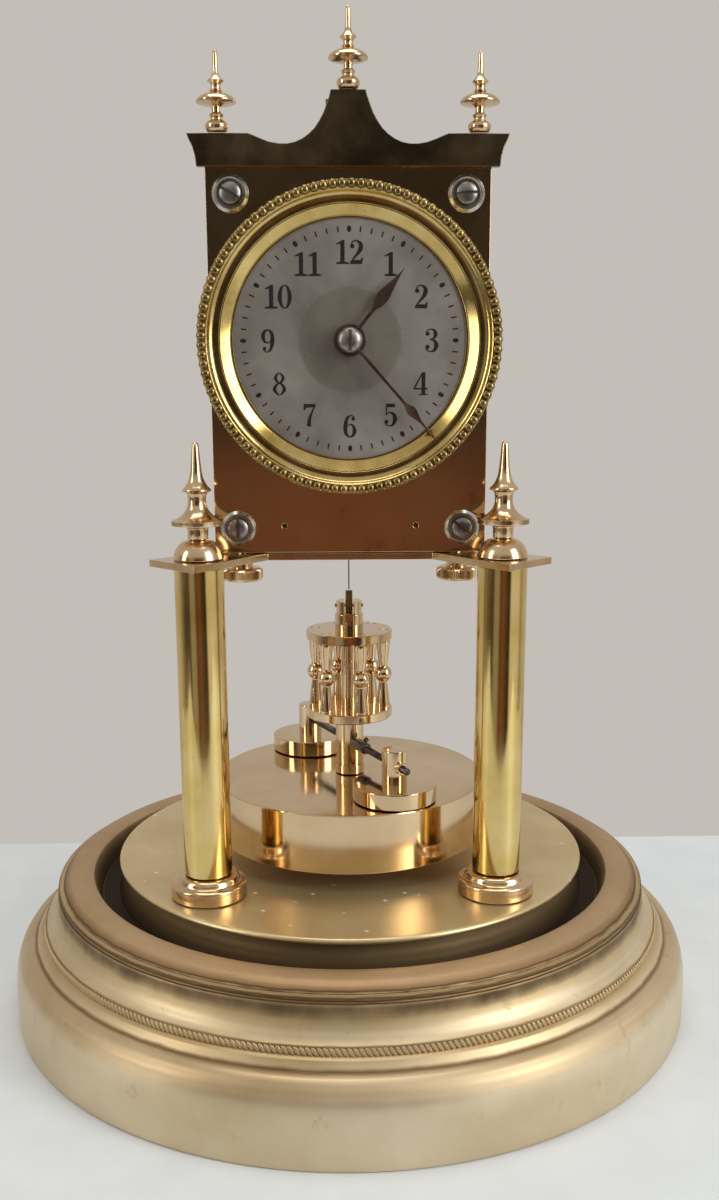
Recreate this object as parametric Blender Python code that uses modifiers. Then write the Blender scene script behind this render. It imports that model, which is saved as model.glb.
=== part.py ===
# Anniversary clock: a brass torsion-pendulum clock on two columns and a spun base.
# Metres, +Z up, the dial faces -Y. The origin is under the middle of the base, where the pendulum's axis falls.

import math

import bmesh
import bpy

for old in list(bpy.data.objects):
    bpy.data.objects.remove(old, do_unlink=True)

MM = 0.001

# Clearances shared by all pieces
SEAT_GAP = 0.3 * MM
RUN_GAP = 0.3 * MM
MERGE = 0.001 * MM

# Round steps: how finely each kind of turned piece is cut
STEPS_BASE = 32
STEPS_DIAL = 32
STEPS_DISC = 32
STEPS_COLUMN = 12
STEPS_SMALL = 10
STEPS_HOLE = 8
STEPS_BALUSTER = 6
STEPS_GALLERY = 20
STEPS_WEIGHT = 18
STEPS_BOLT = 6

# Base: spun shell with the dome groove in its top
BASE_R = 110.9 * MM
BASE_H = 45.3 * MM
BASE_WALL = 1.6 * MM
RIM_IN_OUT = 2.1 * MM
GROOVE_DEPTH = 7.1 * MM
GROOVE_W = 5.4 * MM
GROOVE_PAST_PLATFORM = 0.5 * MM
PLATFORM_SEAT_UP = 1.1 * MM
PLATFORM_SEAT_IN = 4.3 * MM
BASE_HOLE_R = 3.0 * MM
BASE_EASE = 0.6 * MM
BASE_OUTER_SHARES = [
    (0.0548, 1.000), (0.2439, 0.993), (0.3657, 0.951), (0.4392, 0.938), (0.4413, 0.898),
    (0.4161, 0.887), (0.4539, 0.812), (0.5127, 0.735), (0.5967, 0.662), (0.6723, 0.640),
    (0.6597, 0.590), (0.7690, 0.550), (0.8950, 0.498), (0.9664, 0.420), (1.0000, 0.265),
]

# Platform disc inside the groove
PLATFORM_R = 76.5 * MM
PLATFORM_T = 2.6 * MM
PLATFORM_EASE = 0.7 * MM

# Columns: their plane stands ahead of the pendulum's axis
COLUMN_X_SHARE = 0.56732
COLUMN_Y_SHARE = 0.56863
COLUMN_R = 7.15 * MM
COLUMN_WALL = 0.7 * MM
COLUMN_H = 92.3 * MM
FOOT_R = 11.4 * MM
FOOT_H = 6.8 * MM
FOOT_SHARES = [
    (0.72, 1.00), (0.80, 0.92), (0.83, 0.78), (0.87, 0.70), (0.96, 0.65), (1.00, 0.58), (0.99, 0.48), (0.99, 0.00),
]
SPIGOT_H = 3.0 * MM
BOLT_R = 2.0 * MM
BOLT_HEAD_R = 4.4 * MM
BOLT_HEAD_H = 3.0 * MM

# Movement platform, a bar with diamond ends
BAR_T = 2.0 * MM
DIAMOND_OUT = 14.1 * MM
DIAMOND_DEEP = 14.6 * MM
BAR_NECK_IN = 19.2 * MM
BAR_EDGE_IN = 0.3 * MM

# Cap domes and finial nuts over the columns
DOME_R = 7.2 * MM
DOME_H = 5.2 * MM
DOME_SHARES = [(0.48, 1.00), (0.70, 0.84), (0.87, 0.58), (0.97, 0.28), (1.00, 0.00)]
NUT_R = 7.3 * MM
NUT_H = 27.1 * MM
NUT_BORE_H = 5.4 * MM
NUT_SHARES = [
    (0.00, 1.000), (0.11, 0.985), (0.15, 0.900), (0.20, 0.740), (0.28, 0.620), (0.41, 0.560), (0.56, 0.515),
    (0.37, 0.470), (0.35, 0.390), (0.41, 0.320), (0.58, 0.260), (0.90, 0.208), (1.00, 0.195), (1.00, 0.145),
    (0.43, 0.120), (0.40, 0.000),
]

# Movement plates
PLATE_INSIDE_COLUMN = 3.9 * MM
PLATE_H = 108.9 * MM
PLATE_T = 2.2 * MM
PLATE_BEHIND_COLUMN = 10.8 * MM
PLATE_BEFORE_PENDULUM = 7.0 * MM
DIAL_Z_SHARE = 0.551882
DRILL_X = 19.2 * MM
DRILL_RISE = 7.8 * MM
DRILL_R = 0.8 * MM

# Pillars and their screws
PILLAR_IN = 6.9 * MM
PILLAR_LOW_RISE = 7.3 * MM
PILLAR_HIGH_DROP = 9.4 * MM
PILLAR_R = 3.5 * MM
PILLAR_WAIST_R = 2.8 * MM
PILLAR_COLLAR = 2.5 * MM
RIVET_R = 2.0 * MM
TAP_R = 1.6 * MM
TAP_DEPTH = 8.0 * MM
SCREW_R = 1.3 * MM
SCREW_HEAD_R = 3.4 * MM
SCREW_HEAD_H = 1.7 * MM
SCREW_SLOT_W = 0.9 * MM
SCREW_SLOT_D = 0.8 * MM
WASHER_R = 5.1 * MM
WASHER_H = 1.4 * MM
SLOT_TURNS = {"upper_left": 30.0, "upper_right": -5.0, "lower_left": 90.0, "lower_right": 38.0}

# Thumbscrews under the movement platform
THUMB_R = 6.1 * MM
THUMB_H = 3.8 * MM
THUMB_NECK_R = 3.2 * MM
THUMB_NECK_H = 3.6 * MM
THUMB_REACH = 2.2 * MM

# Crown plate and its three finials
CROWN_LAP = 2.6 * MM
CROWN_OVER = 4.6 * MM
CROWN_H = 19.6 * MM
CROWN_T = 2.0 * MM
CROWN_SHARES = [
    (1.000, 0.435), (0.620, 0.437), (0.585, 0.407), (0.540, 0.366), (0.490, 0.326), (0.430, 0.304), (0.380, 0.304),
    (0.330, 0.326), (0.285, 0.370), (0.245, 0.430), (0.210, 0.505), (0.180, 0.600), (0.155, 0.700), (0.135, 0.810),
    (0.118, 0.915), (0.108, 1.000),
]
CROWN_END_SHARES = [(0.944, 0.000), (0.950, 0.130), (0.965, 0.260), (0.985, 0.350)]
CROWN_FINIAL_R = 5.45 * MM
CROWN_FINIAL_H = 20.7 * MM
CROWN_FINIAL_IN = 3.7 * MM
CROWN_FINIAL_SHARES = [
    (0.00, 1.000), (0.10, 0.985), (0.13, 0.800), (0.18, 0.700), (0.42, 0.630), (0.25, 0.575), (0.30, 0.495),
    (0.70, 0.450), (0.95, 0.400), (1.00, 0.370), (0.92, 0.350), (0.24, 0.315), (0.22, 0.240), (0.36, 0.210),
    (0.30, 0.150), (0.58, 0.085), (0.57, 0.030), (0.48, 0.000),
]

# Bezel and dial
BEZEL_R_SHARE = 0.457133
BEZEL_H = 10.0 * MM
BEAD_R = 1.3 * MM
BEZEL_SKIRT_IN = 1.5 * MM
BEZEL_WALL = 0.9 * MM
DIAL_OPEN_SHARE = 0.768868
DIAL_R_SHARE = 0.846698
DIAL_T = 0.6 * MM
DIAL_RISE = 4.0 * MM
BEZEL_LIP = 0.6 * MM
BEZEL_DISH_SHARES = [(0.932, 0.760), (0.905, 0.650), (0.868, 0.610), (0.790, 0.545)]

# Hands and motion work, as rises from the front plate's face
MOTION_X = 10.0 * MM
MOTION_T = 0.9 * MM
CANNON_TEETH = 8
MINUTE_TEETH = 24
MINUTE_LEAVES = 8
HOUR_TEETH = 32
CANNON_RISE = 0.5 * MM
HOUR_WHEEL_RISE = 2.5 * MM
CENTRE_TIP_R = 0.7 * MM
CANNON_R = 1.6 * MM
CANNON_TOP = 8.9 * MM
HOUR_PIPE_R = 2.5 * MM
HOUR_PIPE_TOP = 7.2 * MM
HOUR_HAND_RISE = 6.4 * MM
MINUTE_HAND_RISE = 8.0 * MM
HAND_T = 0.5 * MM
HOUR_HAND_SHARE = 0.682451
MINUTE_HAND_SHARE = 0.969359
HOUR_HUB_R = 4.5 * MM
MINUTE_HUB_R = 3.0 * MM
HOUR_HAND_W = 4.6 * MM
MINUTE_HAND_W = 2.8 * MM
HOUR_ANGLE = 38.3
MINUTE_ANGLE = 138.3
HAND_NUT_R = 3.5 * MM
HAND_NUT_H = 1.9 * MM
HAND_NUT_SLOT = 0.8 * MM
HAND_NUT_SHARES = [(0.00, 1.00), (0.50, 0.92), (0.87, 0.62), (1.00, 0.25), (1.00, 0.00)]
HOUR_HAND_SHARES = [
    (0.14, 0.26), (0.40, 0.22), (0.47, 0.62), (0.56, 1.00), (0.66, 0.72), (0.80, 0.30), (1.0, 0.0),
]
MINUTE_HAND_SHARES = [(0.06, 0.40), (0.66, 0.30), (0.72, 0.95), (0.76, 1.00), (0.84, 0.42), (1.0, 0.0)]

# Going train, between the plates: places and sizes as shares of the plates' height and of their spacing
TRAIN_SHARES = {
    "barrel_x": 0.1377410,
    "barrel_z": 0.2607897,
    "barrel_r": 0.1606979,
    "escape_rise": 0.2433425,
    "great_module": 0.0109275,
    "second_module": 0.0093664,
    "centre_module": 0.0085399,
    "third_module": 0.0079890,
    "escape_r": 0.0780533,
    "escape_tooth": 0.0174472,
    "anchor_rise": 0.1248852,
    "anchor_in_r": 0.0872360,
    "anchor_deep": 0.0220386,
    "anchor_pin_up": 0.1157025,
    "fork_rise": 0.0936639,
}
LAYER_SHARES = {
    "barrel_len": 0.600939,
    "great_back": 0.234742,
    "second_back": 0.103286,
    "centre_back": 0.713615,
    "third_back": 0.488263,
    "escape_back": 0.272300,
}
BARREL_WALL = 1.2 * MM
BARREL_BOSS_R = 4.2 * MM
WHEEL_T = 1.1 * MM
GREAT_T = 1.5 * MM
GREAT_TEETH = 32
WHEEL_TEETH = 24
LEAVES = 8
WHEEL_TOOTH_SHARES = (0.60, 1.25, 0.24)
LEAF_TOOTH_SHARES = (0.60, 1.25, 0.20)
ARBOR_R = 1.0 * MM
PIVOT_R = 0.6 * MM
RIM_SHARE = 0.80
HUB_SHARE = 0.30
LEAF_OVER = 0.9 * MM
ESCAPE_TEETH = 15

# Winding arbor, ratchet and click
WIND_R = 2.0 * MM
WIND_SQUARE = 3.0 * MM
WIND_SQUARE_L = 9.0 * MM
RATCHET_TEETH = 14
RATCHET_R = 7.4 * MM
RATCHET_TOOTH = 1.3 * MM
RATCHET_T = 1.4 * MM
RATCHET_FALL_SHARE = 0.12
CLICK_L = 8.5 * MM
CLICK_W = 2.6 * MM
CLICK_T = 1.2 * MM
CLICK_SCREW_R = 1.9 * MM
CLICK_HEAD_SHARE = 0.8

# Mainspring
SPRING_TURNS = 4
SPRING_T = 0.6 * MM
SPRING_IN_R = 6.2 * MM
SPRING_POINTS = 10

# Anchor and fork
ANCHOR_SPAN = 48.0
ANCHOR_T = 1.6 * MM
ANCHOR_HUB_R = 2.4 * MM
ANCHOR_PIN_R = 0.5 * MM
ANCHOR_PIN_Y = -11.2 * MM
FORK_T = 1.0 * MM
FORK_LEG = 0.6 * MM
FORK_HUB_R = 1.9 * MM
FORK_TIP = 1.6 * MM

# Suspension
BRACKET_W = 12.3 * MM
BRACKET_T = 1.6 * MM
BRACKET_DROP = 14.5 * MM
BRACKET_RISE = 20.5 * MM
BRACKET_WINDOW_W = 7.0 * MM
BRACKET_WINDOW_DROP = 6.0 * MM
BRACKET_WINDOW_RISE = 10.5 * MM
BRACKET_ARM_H = 4.6 * MM
BRACKET_ARM_BACK = 3.2 * MM
TOP_BLOCK_W = 3.0 * MM
TOP_BLOCK_H = 4.0 * MM
RIBBON_W = 0.6 * MM
RIBBON_T = 0.4 * MM

# Pendulum: heavy disc, gallery and hub, on the Z axis
BOB_R_SHARE = 0.57386
BOB_CLEARANCE = 5.7 * MM
BOB_T = 18.8 * MM
BOB_EASE = 0.5 * MM
POST_R = 4.6 * MM
POST_FOOT_R = 4.8 * MM
POST_FOOT_H = 3.2 * MM
GALLERY_R = 14.0 * MM
GALLERY_RISE = 19.8 * MM
GALLERY_T = 3.0 * MM
GALLERY_H = 28.7 * MM
GALLERY_ROD_R = 2.6 * MM
BALUSTERS = 6
BALUSTER_RING_SHARE = 0.80
BALUSTER_TURN = 18.0
BALUSTER_R = 2.6 * MM
BALUSTER_SHARES = [(0.88, 1.00), (0.50, 0.61), (1.00, 0.53), (1.00, 0.47), (0.50, 0.39), (0.88, 0.00)]
TENON_R = 1.4 * MM
HUB_LOW_R = 4.6 * MM
HUB_LOW_H = 5.2 * MM
HUB_TOP_R = 4.1 * MM
HUB_TOP_H = 4.2 * MM
HOOK_W = 2.3 * MM
HOOK_DEEP = 1.8 * MM
HOOK_RISE = 12.7 * MM
HOOK_PIN_R = 0.6 * MM
HOOK_PIN_OVER = 0.5 * MM
HOOK_PIN_DROP = 1.6 * MM

# Sliding weights and their screw
WEIGHT_OUT_SHARE = 0.71754
WEIGHT_R = 13.0 * MM
WEIGHT_T = 5.2 * MM
WEIGHT_POST_R = 3.95 * MM
WEIGHT_H = 15.9 * MM
WEIGHT_NUT_R = 1.9 * MM
WEIGHT_NUT_L = 1.8 * MM
WEIGHT_TURN = -64.8
REG_RISE = 11.0 * MM
REG_R = 1.1 * MM
REG_FRONT_SHARE = 0.92938
REG_BACK_SHARE = 0.87472
REG_TIP = 2.0 * MM
SLEEVE_R = 1.9 * MM
SLEEVE_L = 7.6 * MM
DOG_R = 0.5 * MM
DOG_UP = 3.4 * MM
DOG_ALONG_SHARE = 0.45

# Places worked out from the sizes above
PLATFORM_SEAT_Z = BASE_H + PLATFORM_SEAT_UP
PLATFORM_SEAT_R = PLATFORM_R - PLATFORM_SEAT_IN
GROOVE_IN_R = PLATFORM_R + GROOVE_PAST_PLATFORM
GROOVE_OUT_R = GROOVE_IN_R + GROOVE_W
RIM_IN_R = GROOVE_OUT_R + RIM_IN_OUT
GROOVE_FLOOR_Z = BASE_H - GROOVE_DEPTH
PLATFORM_Z = PLATFORM_SEAT_Z + SEAT_GAP
PLATFORM_TOP_Z = PLATFORM_Z + PLATFORM_T
FOOT_Z = PLATFORM_TOP_Z + SEAT_GAP
COLUMN_LOW_Z = FOOT_Z + FOOT_H + SEAT_GAP
COLUMN_TOP_Z = COLUMN_LOW_Z + COLUMN_H
COLUMN_X = PLATFORM_R * COLUMN_X_SHARE
COLUMN_Y = -PLATFORM_R * COLUMN_Y_SHARE
BAR_NECK_X = COLUMN_X - BAR_NECK_IN
BAR_LOW_Z = COLUMN_TOP_Z + SEAT_GAP
BAR_TOP_Z = BAR_LOW_Z + BAR_T
DOME_Z = BAR_TOP_Z + SEAT_GAP
NUT_Z = DOME_Z + DOME_H + SEAT_GAP
BOLT_HOLE_R = BOLT_R + RUN_GAP
PLATE_LOW_Z = BAR_TOP_Z + SEAT_GAP
PLATE_TOP_Z = PLATE_LOW_Z + PLATE_H
PLATE_W = 2 * (COLUMN_X - PLATE_INSIDE_COLUMN)
PILLAR_X = PLATE_W / 2 - PILLAR_IN
FRONT_Y = COLUMN_Y + PLATE_BEHIND_COLUMN
PLATE_SPACING = -PLATE_BEFORE_PENDULUM - FRONT_Y - 2 * PLATE_T
FRONT_INNER_Y = FRONT_Y + PLATE_T
BACK_INNER_Y = FRONT_INNER_Y + PLATE_SPACING
BACK_Y = BACK_INNER_Y + PLATE_T
MIDDLE_Y = (FRONT_INNER_Y + BACK_INNER_Y) / 2
FACE_Y = FRONT_Y - SEAT_GAP
PILLAR_PLACES = {
    "upper_left": (-PILLAR_X, PLATE_TOP_Z - PILLAR_HIGH_DROP),
    "upper_right": (PILLAR_X, PLATE_TOP_Z - PILLAR_HIGH_DROP),
    "lower_left": (-PILLAR_X, PLATE_LOW_Z + PILLAR_LOW_RISE),
    "lower_right": (PILLAR_X, PLATE_LOW_Z + PILLAR_LOW_RISE),
}
CROWN_W = PLATE_W + 2 * CROWN_OVER
CROWN_FINIAL_X = PLATE_W / 2 - CROWN_FINIAL_IN
CROWN_BOTTOM_Z = PLATE_TOP_Z - CROWN_LAP
CROWN_TOP_Z = CROWN_BOTTOM_Z + CROWN_H
CROWN_Y = FACE_Y - CROWN_T / 2
DIAL_Z = PLATE_LOW_Z + PLATE_H * DIAL_Z_SHARE
BEZEL_R = math.sqrt(PLATE_W * PLATE_H) * BEZEL_R_SHARE
DIAL_OPEN_R = BEZEL_R * DIAL_OPEN_SHARE
DIAL_R = BEZEL_R * DIAL_R_SHARE
HOUR_HAND_L = DIAL_R * HOUR_HAND_SHARE
MINUTE_HAND_L = DIAL_R * MINUTE_HAND_SHARE
BARREL_X = -PLATE_H * TRAIN_SHARES["barrel_x"]
BARREL_Z = PLATE_LOW_Z + PLATE_H * TRAIN_SHARES["barrel_z"]
BARREL_R = PLATE_H * TRAIN_SHARES["barrel_r"]
ESCAPE_RISE = PLATE_H * TRAIN_SHARES["escape_rise"]
GREAT_MODULE = PLATE_H * TRAIN_SHARES["great_module"]
SECOND_MODULE = PLATE_H * TRAIN_SHARES["second_module"]
CENTRE_MODULE = PLATE_H * TRAIN_SHARES["centre_module"]
THIRD_MODULE = PLATE_H * TRAIN_SHARES["third_module"]
ESCAPE_R = PLATE_H * TRAIN_SHARES["escape_r"]
ESCAPE_TOOTH = PLATE_H * TRAIN_SHARES["escape_tooth"]
ANCHOR_RISE = PLATE_H * TRAIN_SHARES["anchor_rise"]
ANCHOR_IN_R = PLATE_H * TRAIN_SHARES["anchor_in_r"]
ANCHOR_DEEP = PLATE_H * TRAIN_SHARES["anchor_deep"]
ANCHOR_PIN_UP = PLATE_H * TRAIN_SHARES["anchor_pin_up"]
FORK_RISE = PLATE_H * TRAIN_SHARES["fork_rise"]
BARREL_LEN = PLATE_SPACING * LAYER_SHARES["barrel_len"]
GREAT_BACK = PLATE_SPACING * LAYER_SHARES["great_back"]
SECOND_BACK = PLATE_SPACING * LAYER_SHARES["second_back"]
CENTRE_BACK = PLATE_SPACING * LAYER_SHARES["centre_back"]
THIRD_BACK = PLATE_SPACING * LAYER_SHARES["third_back"]
ESCAPE_BACK = PLATE_SPACING * LAYER_SHARES["escape_back"]
BRACKET_LOW = PLATE_TOP_Z - BRACKET_DROP
BRACKET_TOP = PLATE_TOP_Z + BRACKET_RISE
BRACKET_WINDOW_LOW = PLATE_TOP_Z - BRACKET_WINDOW_DROP
BRACKET_WINDOW_TOP = PLATE_TOP_Z + BRACKET_WINDOW_RISE
ESCAPE_Z = DIAL_Z + ESCAPE_RISE
ANCHOR_Z = ESCAPE_Z + ANCHOR_RISE
FORK_Z = ANCHOR_Z + FORK_RISE
MOTION_MODULE = 2 * MOTION_X / (CANNON_TEETH + MINUTE_TEETH)
HOUR_MODULE = 2 * MOTION_X / (MINUTE_LEAVES + HOUR_TEETH)
BOB_R = PLATFORM_R * BOB_R_SHARE
BOB_LOW_Z = PLATFORM_TOP_Z + BOB_CLEARANCE
BOB_TOP_Z = BOB_LOW_Z + BOB_T
GALLERY_LOW_Z = BOB_TOP_Z + GALLERY_RISE
GALLERY_TOP_Z = GALLERY_LOW_Z + GALLERY_H
HOOK_TOP_Z = GALLERY_TOP_Z + HOOK_RISE
REG_Z = BOB_TOP_Z + REG_RISE
WEIGHT_OUT = BOB_R * WEIGHT_OUT_SHARE
REG_FRONT = BOB_R * REG_FRONT_SHARE
REG_BACK = BOB_R * REG_BACK_SHARE
REG_DIRECTION = (math.cos(math.radians(WEIGHT_TURN)), math.sin(math.radians(WEIGHT_TURN)))
WEIGHT_Z = BOB_TOP_Z + SEAT_GAP
WEIGHT_TOP_Z = WEIGHT_Z + WEIGHT_H
PIVOT_HOLE_R = PIVOT_R + RUN_GAP
REG_HOLE_R = REG_R + RUN_GAP

parts = bpy.data.collections.new("anniversary_clock")
cutters = bpy.data.collections.new("cutters")
bpy.context.scene.collection.children.link(parts)
bpy.context.scene.collection.children.link(cutters)

COLOURS = {
    "aged_brass": ((0.56, 0.44, 0.25, 1.0), 0.38),
    "polished_brass": ((0.80, 0.60, 0.24, 1.0), 0.14),
    "column_brass": ((0.78, 0.64, 0.26, 1.0), 0.12),
    "plate_brass": ((0.52, 0.36, 0.18, 1.0), 0.12),
    "copper_gold": ((0.78, 0.46, 0.22, 1.0), 0.10),
    "tarnished_brass": ((0.33, 0.25, 0.12, 1.0), 0.35),
    "train_brass": ((0.75, 0.58, 0.28, 1.0), 0.25),
    "silvered": ((0.62, 0.61, 0.58, 1.0), 0.45),
    "steel": ((0.30, 0.30, 0.31, 1.0), 0.28),
    "bright_steel": ((0.70, 0.69, 0.66, 1.0), 0.18),
}
UP = (0.0, 0.0, 0.0)
FRONT = (math.pi / 2, 0.0, 0.0)
SIDEWAYS = (0.0, math.pi / 2, 0.0)


def material_for(name, look):
    colour, roughness = COLOURS[look]
    material = bpy.data.materials.new(name)
    material.use_nodes = True
    shader = material.node_tree.nodes["Principled BSDF"]
    shader.inputs["Base Color"].default_value = colour
    shader.inputs["Metallic"].default_value = 1.0
    shader.inputs["Roughness"].default_value = roughness
    return material


def show(obj, look):
    parts.objects.link(obj)
    obj.data.materials.clear()
    obj.data.materials.append(material_for(obj.name, look))
    return obj


def hide(obj):
    cutters.objects.link(obj)
    obj.hide_render = True
    obj.display_type = "WIRE"
    return obj


def profile_mesh(name, points, ring):
    """A profile of (radius, height) points, run down its outer side; a ring's profile is closed."""
    turned_area = sum(a[0] * b[1] - b[0] * a[1] for a, b in zip(points, points[1:] + points[:1]))
    if turned_area > 0.0:
        points = points[::-1]
    edges = [(i, i + 1) for i in range(len(points) - 1)]
    if ring:
        edges.append((len(points) - 1, 0))
    mesh = bpy.data.meshes.new(name)
    mesh.from_pydata([(r, 0.0, z) for r, z in points], edges, [])
    return mesh


def turned(name, points, steps, place, facing=UP, ring=False):
    """A profile turned round the local Z axis. Facing FRONT, its heights run towards -Y."""
    source = bpy.data.objects.new(name + "_profile", profile_mesh(name, points, ring))
    bpy.context.scene.collection.objects.link(source)
    screw = source.modifiers.new("Turn", "SCREW")
    screw.steps = steps
    screw.render_steps = steps
    screw.use_merge_vertices = True
    screw.merge_threshold = MERGE
    screw.use_smooth_shade = True
    return made_mesh(name, source, place, facing)


def made_mesh(name, source, place, facing):
    """The evaluated object as a plain mesh, with loose caps welded."""
    bpy.context.view_layer.update()
    graph = bpy.context.evaluated_depsgraph_get()
    mesh = bpy.data.meshes.new_from_object(source.evaluated_get(graph))
    mesh.name = name
    data = source.data
    bpy.data.objects.remove(source, do_unlink=True)
    if isinstance(data, bpy.types.Curve):
        bpy.data.curves.remove(data)
    else:
        bpy.data.meshes.remove(data)
    weld(mesh)
    obj = bpy.data.objects.new(name, mesh)
    obj.location = place
    obj.rotation_euler = facing
    return obj


def weld(mesh):
    made = bmesh.new()
    made.from_mesh(mesh)
    bmesh.ops.remove_doubles(made, verts=made.verts, dist=MERGE)
    bmesh.ops.recalc_face_normals(made, faces=made.faces)
    made.to_mesh(mesh)
    made.free()
    mesh.shade_smooth()
    mesh.set_sharp_from_angle(angle=math.radians(35.0))


def flat(name, outlines, thickness, place, facing=UP):
    """A flat piece: the first outline is its edge, the others are openings. It is centred on its thickness."""
    curve = bpy.data.curves.new(name, "CURVE")
    curve.dimensions = "2D"
    curve.fill_mode = "BOTH"
    curve.extrude = thickness / 2
    for outline in outlines:
        spline = curve.splines.new("POLY")
        spline.points.add(len(outline) - 1)
        for point, (x, y) in zip(spline.points, outline):
            point.co = (x, y, 0.0, 1.0)
        spline.use_cyclic_u = True
    source = bpy.data.objects.new(name + "_outline", curve)
    bpy.context.scene.collection.objects.link(source)
    return made_mesh(name, source, place, facing)


def circle(radius, count, x=0.0, y=0.0, turn=0.0):
    """Points round a circle, counter-clockwise."""
    start = math.radians(turn)
    return [
        (x + radius * math.cos(start + angle), y + radius * math.sin(start + angle))
        for angle in (2 * math.pi * i / count for i in range(count))
    ]


def shared(shares, width, height, low=0.0, inside=0.0):
    return [(inside + r * width, low + h * height) for r, h in shares]


def joined(obj, others, solver="EXACT"):
    """Boolean union of one object with others, applied at once; the others are removed."""
    for other in others:
        bpy.context.scene.collection.objects.link(other)
    bpy.context.scene.collection.objects.link(obj)
    for i, other in enumerate(others):
        step = obj.modifiers.new(f"Join {i}", "BOOLEAN")
        step.operation = "UNION"
        step.solver = solver
        step.object = other
    bpy.context.view_layer.update()
    graph = bpy.context.evaluated_depsgraph_get()
    mesh = bpy.data.meshes.new_from_object(obj.evaluated_get(graph))
    mesh.name = obj.name
    obj.modifiers.clear()
    obj.data = mesh
    for other in others:
        bpy.data.objects.remove(other, do_unlink=True)
    bpy.context.scene.collection.objects.unlink(obj)
    weld(mesh)
    return obj


def drilled(obj, tools):
    """Cuts left on the piece as modifiers, with their cutters kept as wires."""
    for tool in tools:
        hide(tool)
        step = obj.modifiers.new("Cut " + tool.name, "BOOLEAN")
        step.operation = "DIFFERENCE"
        step.object = tool
    return obj


def box(name, size, place, turn=0.0):
    """A block centred on its place, turned about Z."""
    mesh = bpy.data.meshes.new(name)
    made = bmesh.new()
    bmesh.ops.create_cube(made, size=1.0)
    bmesh.ops.scale(made, vec=size, verts=made.verts)
    made.to_mesh(mesh)
    made.free()
    obj = bpy.data.objects.new(name, mesh)
    obj.location = place
    obj.rotation_euler = (0.0, 0.0, math.radians(turn))
    return obj


def cylinder(name, radius, length, place, facing=UP, count=STEPS_SMALL, turn=0.0):
    """A round bar centred on its place."""
    return flat(name, [circle(radius, count, turn=turn)], length, place, facing)


def tooth_outline(teeth, module, turn, addendum, dedendum, tip):
    """A gear's edge: a point in the gap and two at the tip of each tooth, in shares of the pitch and module."""
    pitch_r = teeth * module / 2
    pitch = 2 * math.pi / teeth
    points = []
    for i in range(teeth):
        centre = math.radians(turn) + i * pitch
        for radius, wide in (
            (pitch_r - dedendum * module, -1.0),
            (pitch_r + addendum * module, -tip),
            (pitch_r + addendum * module, tip),
        ):
            angle = centre + wide / 2 * pitch
            points.append((radius * math.cos(angle), radius * math.sin(angle)))
    return points


def wheel_edge(teeth, module, turn):
    return tooth_outline(teeth, module, turn, *WHEEL_TOOTH_SHARES)


def leaf_edge(teeth, module, turn):
    return tooth_outline(teeth, module, turn, *LEAF_TOOTH_SHARES)


def meshed_turn(turn_a, teeth_a, bearing, teeth_b):
    """The angle of a tooth on gear B, so that it meets gear A's teeth on the line at this bearing from A to B."""
    offset = ((turn_a - bearing) / (360.0 / teeth_a)) % 1.0
    return bearing + 180.0 - (offset + 0.5) * 360.0 / teeth_b


def spokes(rim_r, hub_r, count, spoke_w):
    """Openings between a wheel's spokes."""
    openings = []
    for i in range(count):
        start = 2 * math.pi * i / count
        end = 2 * math.pi * (i + 1) / count
        inner_in = math.asin(spoke_w / 2 / hub_r)
        outer_in = math.asin(spoke_w / 2 / rim_r)
        arc = [start + outer_in + (end - start - 2 * outer_in) * k / 3 for k in range(4)]
        points = [(rim_r * math.cos(a), rim_r * math.sin(a)) for a in arc]
        points += [(hub_r * math.cos(a), hub_r * math.sin(a)) for a in (end - inner_in, start + inner_in)]
        openings.append(points)
    return openings


def third_corner(a, b, from_a, from_b, side):
    """The point at these distances from two others, on the side asked for."""
    gap = math.dist(a, b)
    along = (from_a**2 - from_b**2 + gap**2) / (2 * gap)
    across = math.sqrt(from_a**2 - along**2) * side
    ux, uz = (b[0] - a[0]) / gap, (b[1] - a[1]) / gap
    return (a[0] + ux * along - uz * across, a[1] + uz * along + ux * across)


def bearing_of(a, b):
    return math.degrees(math.atan2(b[1] - a[1], b[0] - a[0]))


# Base shell
outer = shared(BASE_OUTER_SHARES, BASE_R - RIM_IN_R, BASE_H, inside=RIM_IN_R)
inner = [outer[i] for i in (14, 12, 8, 6, 2)]
underside = [(r - BASE_WALL, z - BASE_WALL / 2) for r, z in inner]
base_profile = (
    [(RIM_IN_R, BASE_H - 2 * BASE_EASE)]
    + outer
    + [(BASE_R, BASE_EASE), (BASE_R - BASE_EASE / 2, 0.0), (BASE_R - BASE_WALL, 0.0)]
    + underside
    + [
        (RIM_IN_R + BASE_WALL, BASE_H - 2 * BASE_WALL),
        (GROOVE_OUT_R + BASE_WALL, GROOVE_FLOOR_Z - BASE_WALL),
        (GROOVE_IN_R - BASE_WALL, GROOVE_FLOOR_Z - BASE_WALL),
        (PLATFORM_SEAT_R - BASE_WALL, PLATFORM_SEAT_Z - BASE_WALL),
        (BASE_HOLE_R, PLATFORM_SEAT_Z - BASE_WALL),
        (BASE_HOLE_R, PLATFORM_SEAT_Z),
        (PLATFORM_SEAT_R, PLATFORM_SEAT_Z),
        (GROOVE_IN_R, GROOVE_FLOOR_Z),
        (GROOVE_OUT_R, GROOVE_FLOOR_Z),
    ]
)
base_shell = turned("base_shell", base_profile, STEPS_BASE, (0.0, 0.0, 0.0), ring=True)
show(base_shell, "aged_brass")
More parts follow.
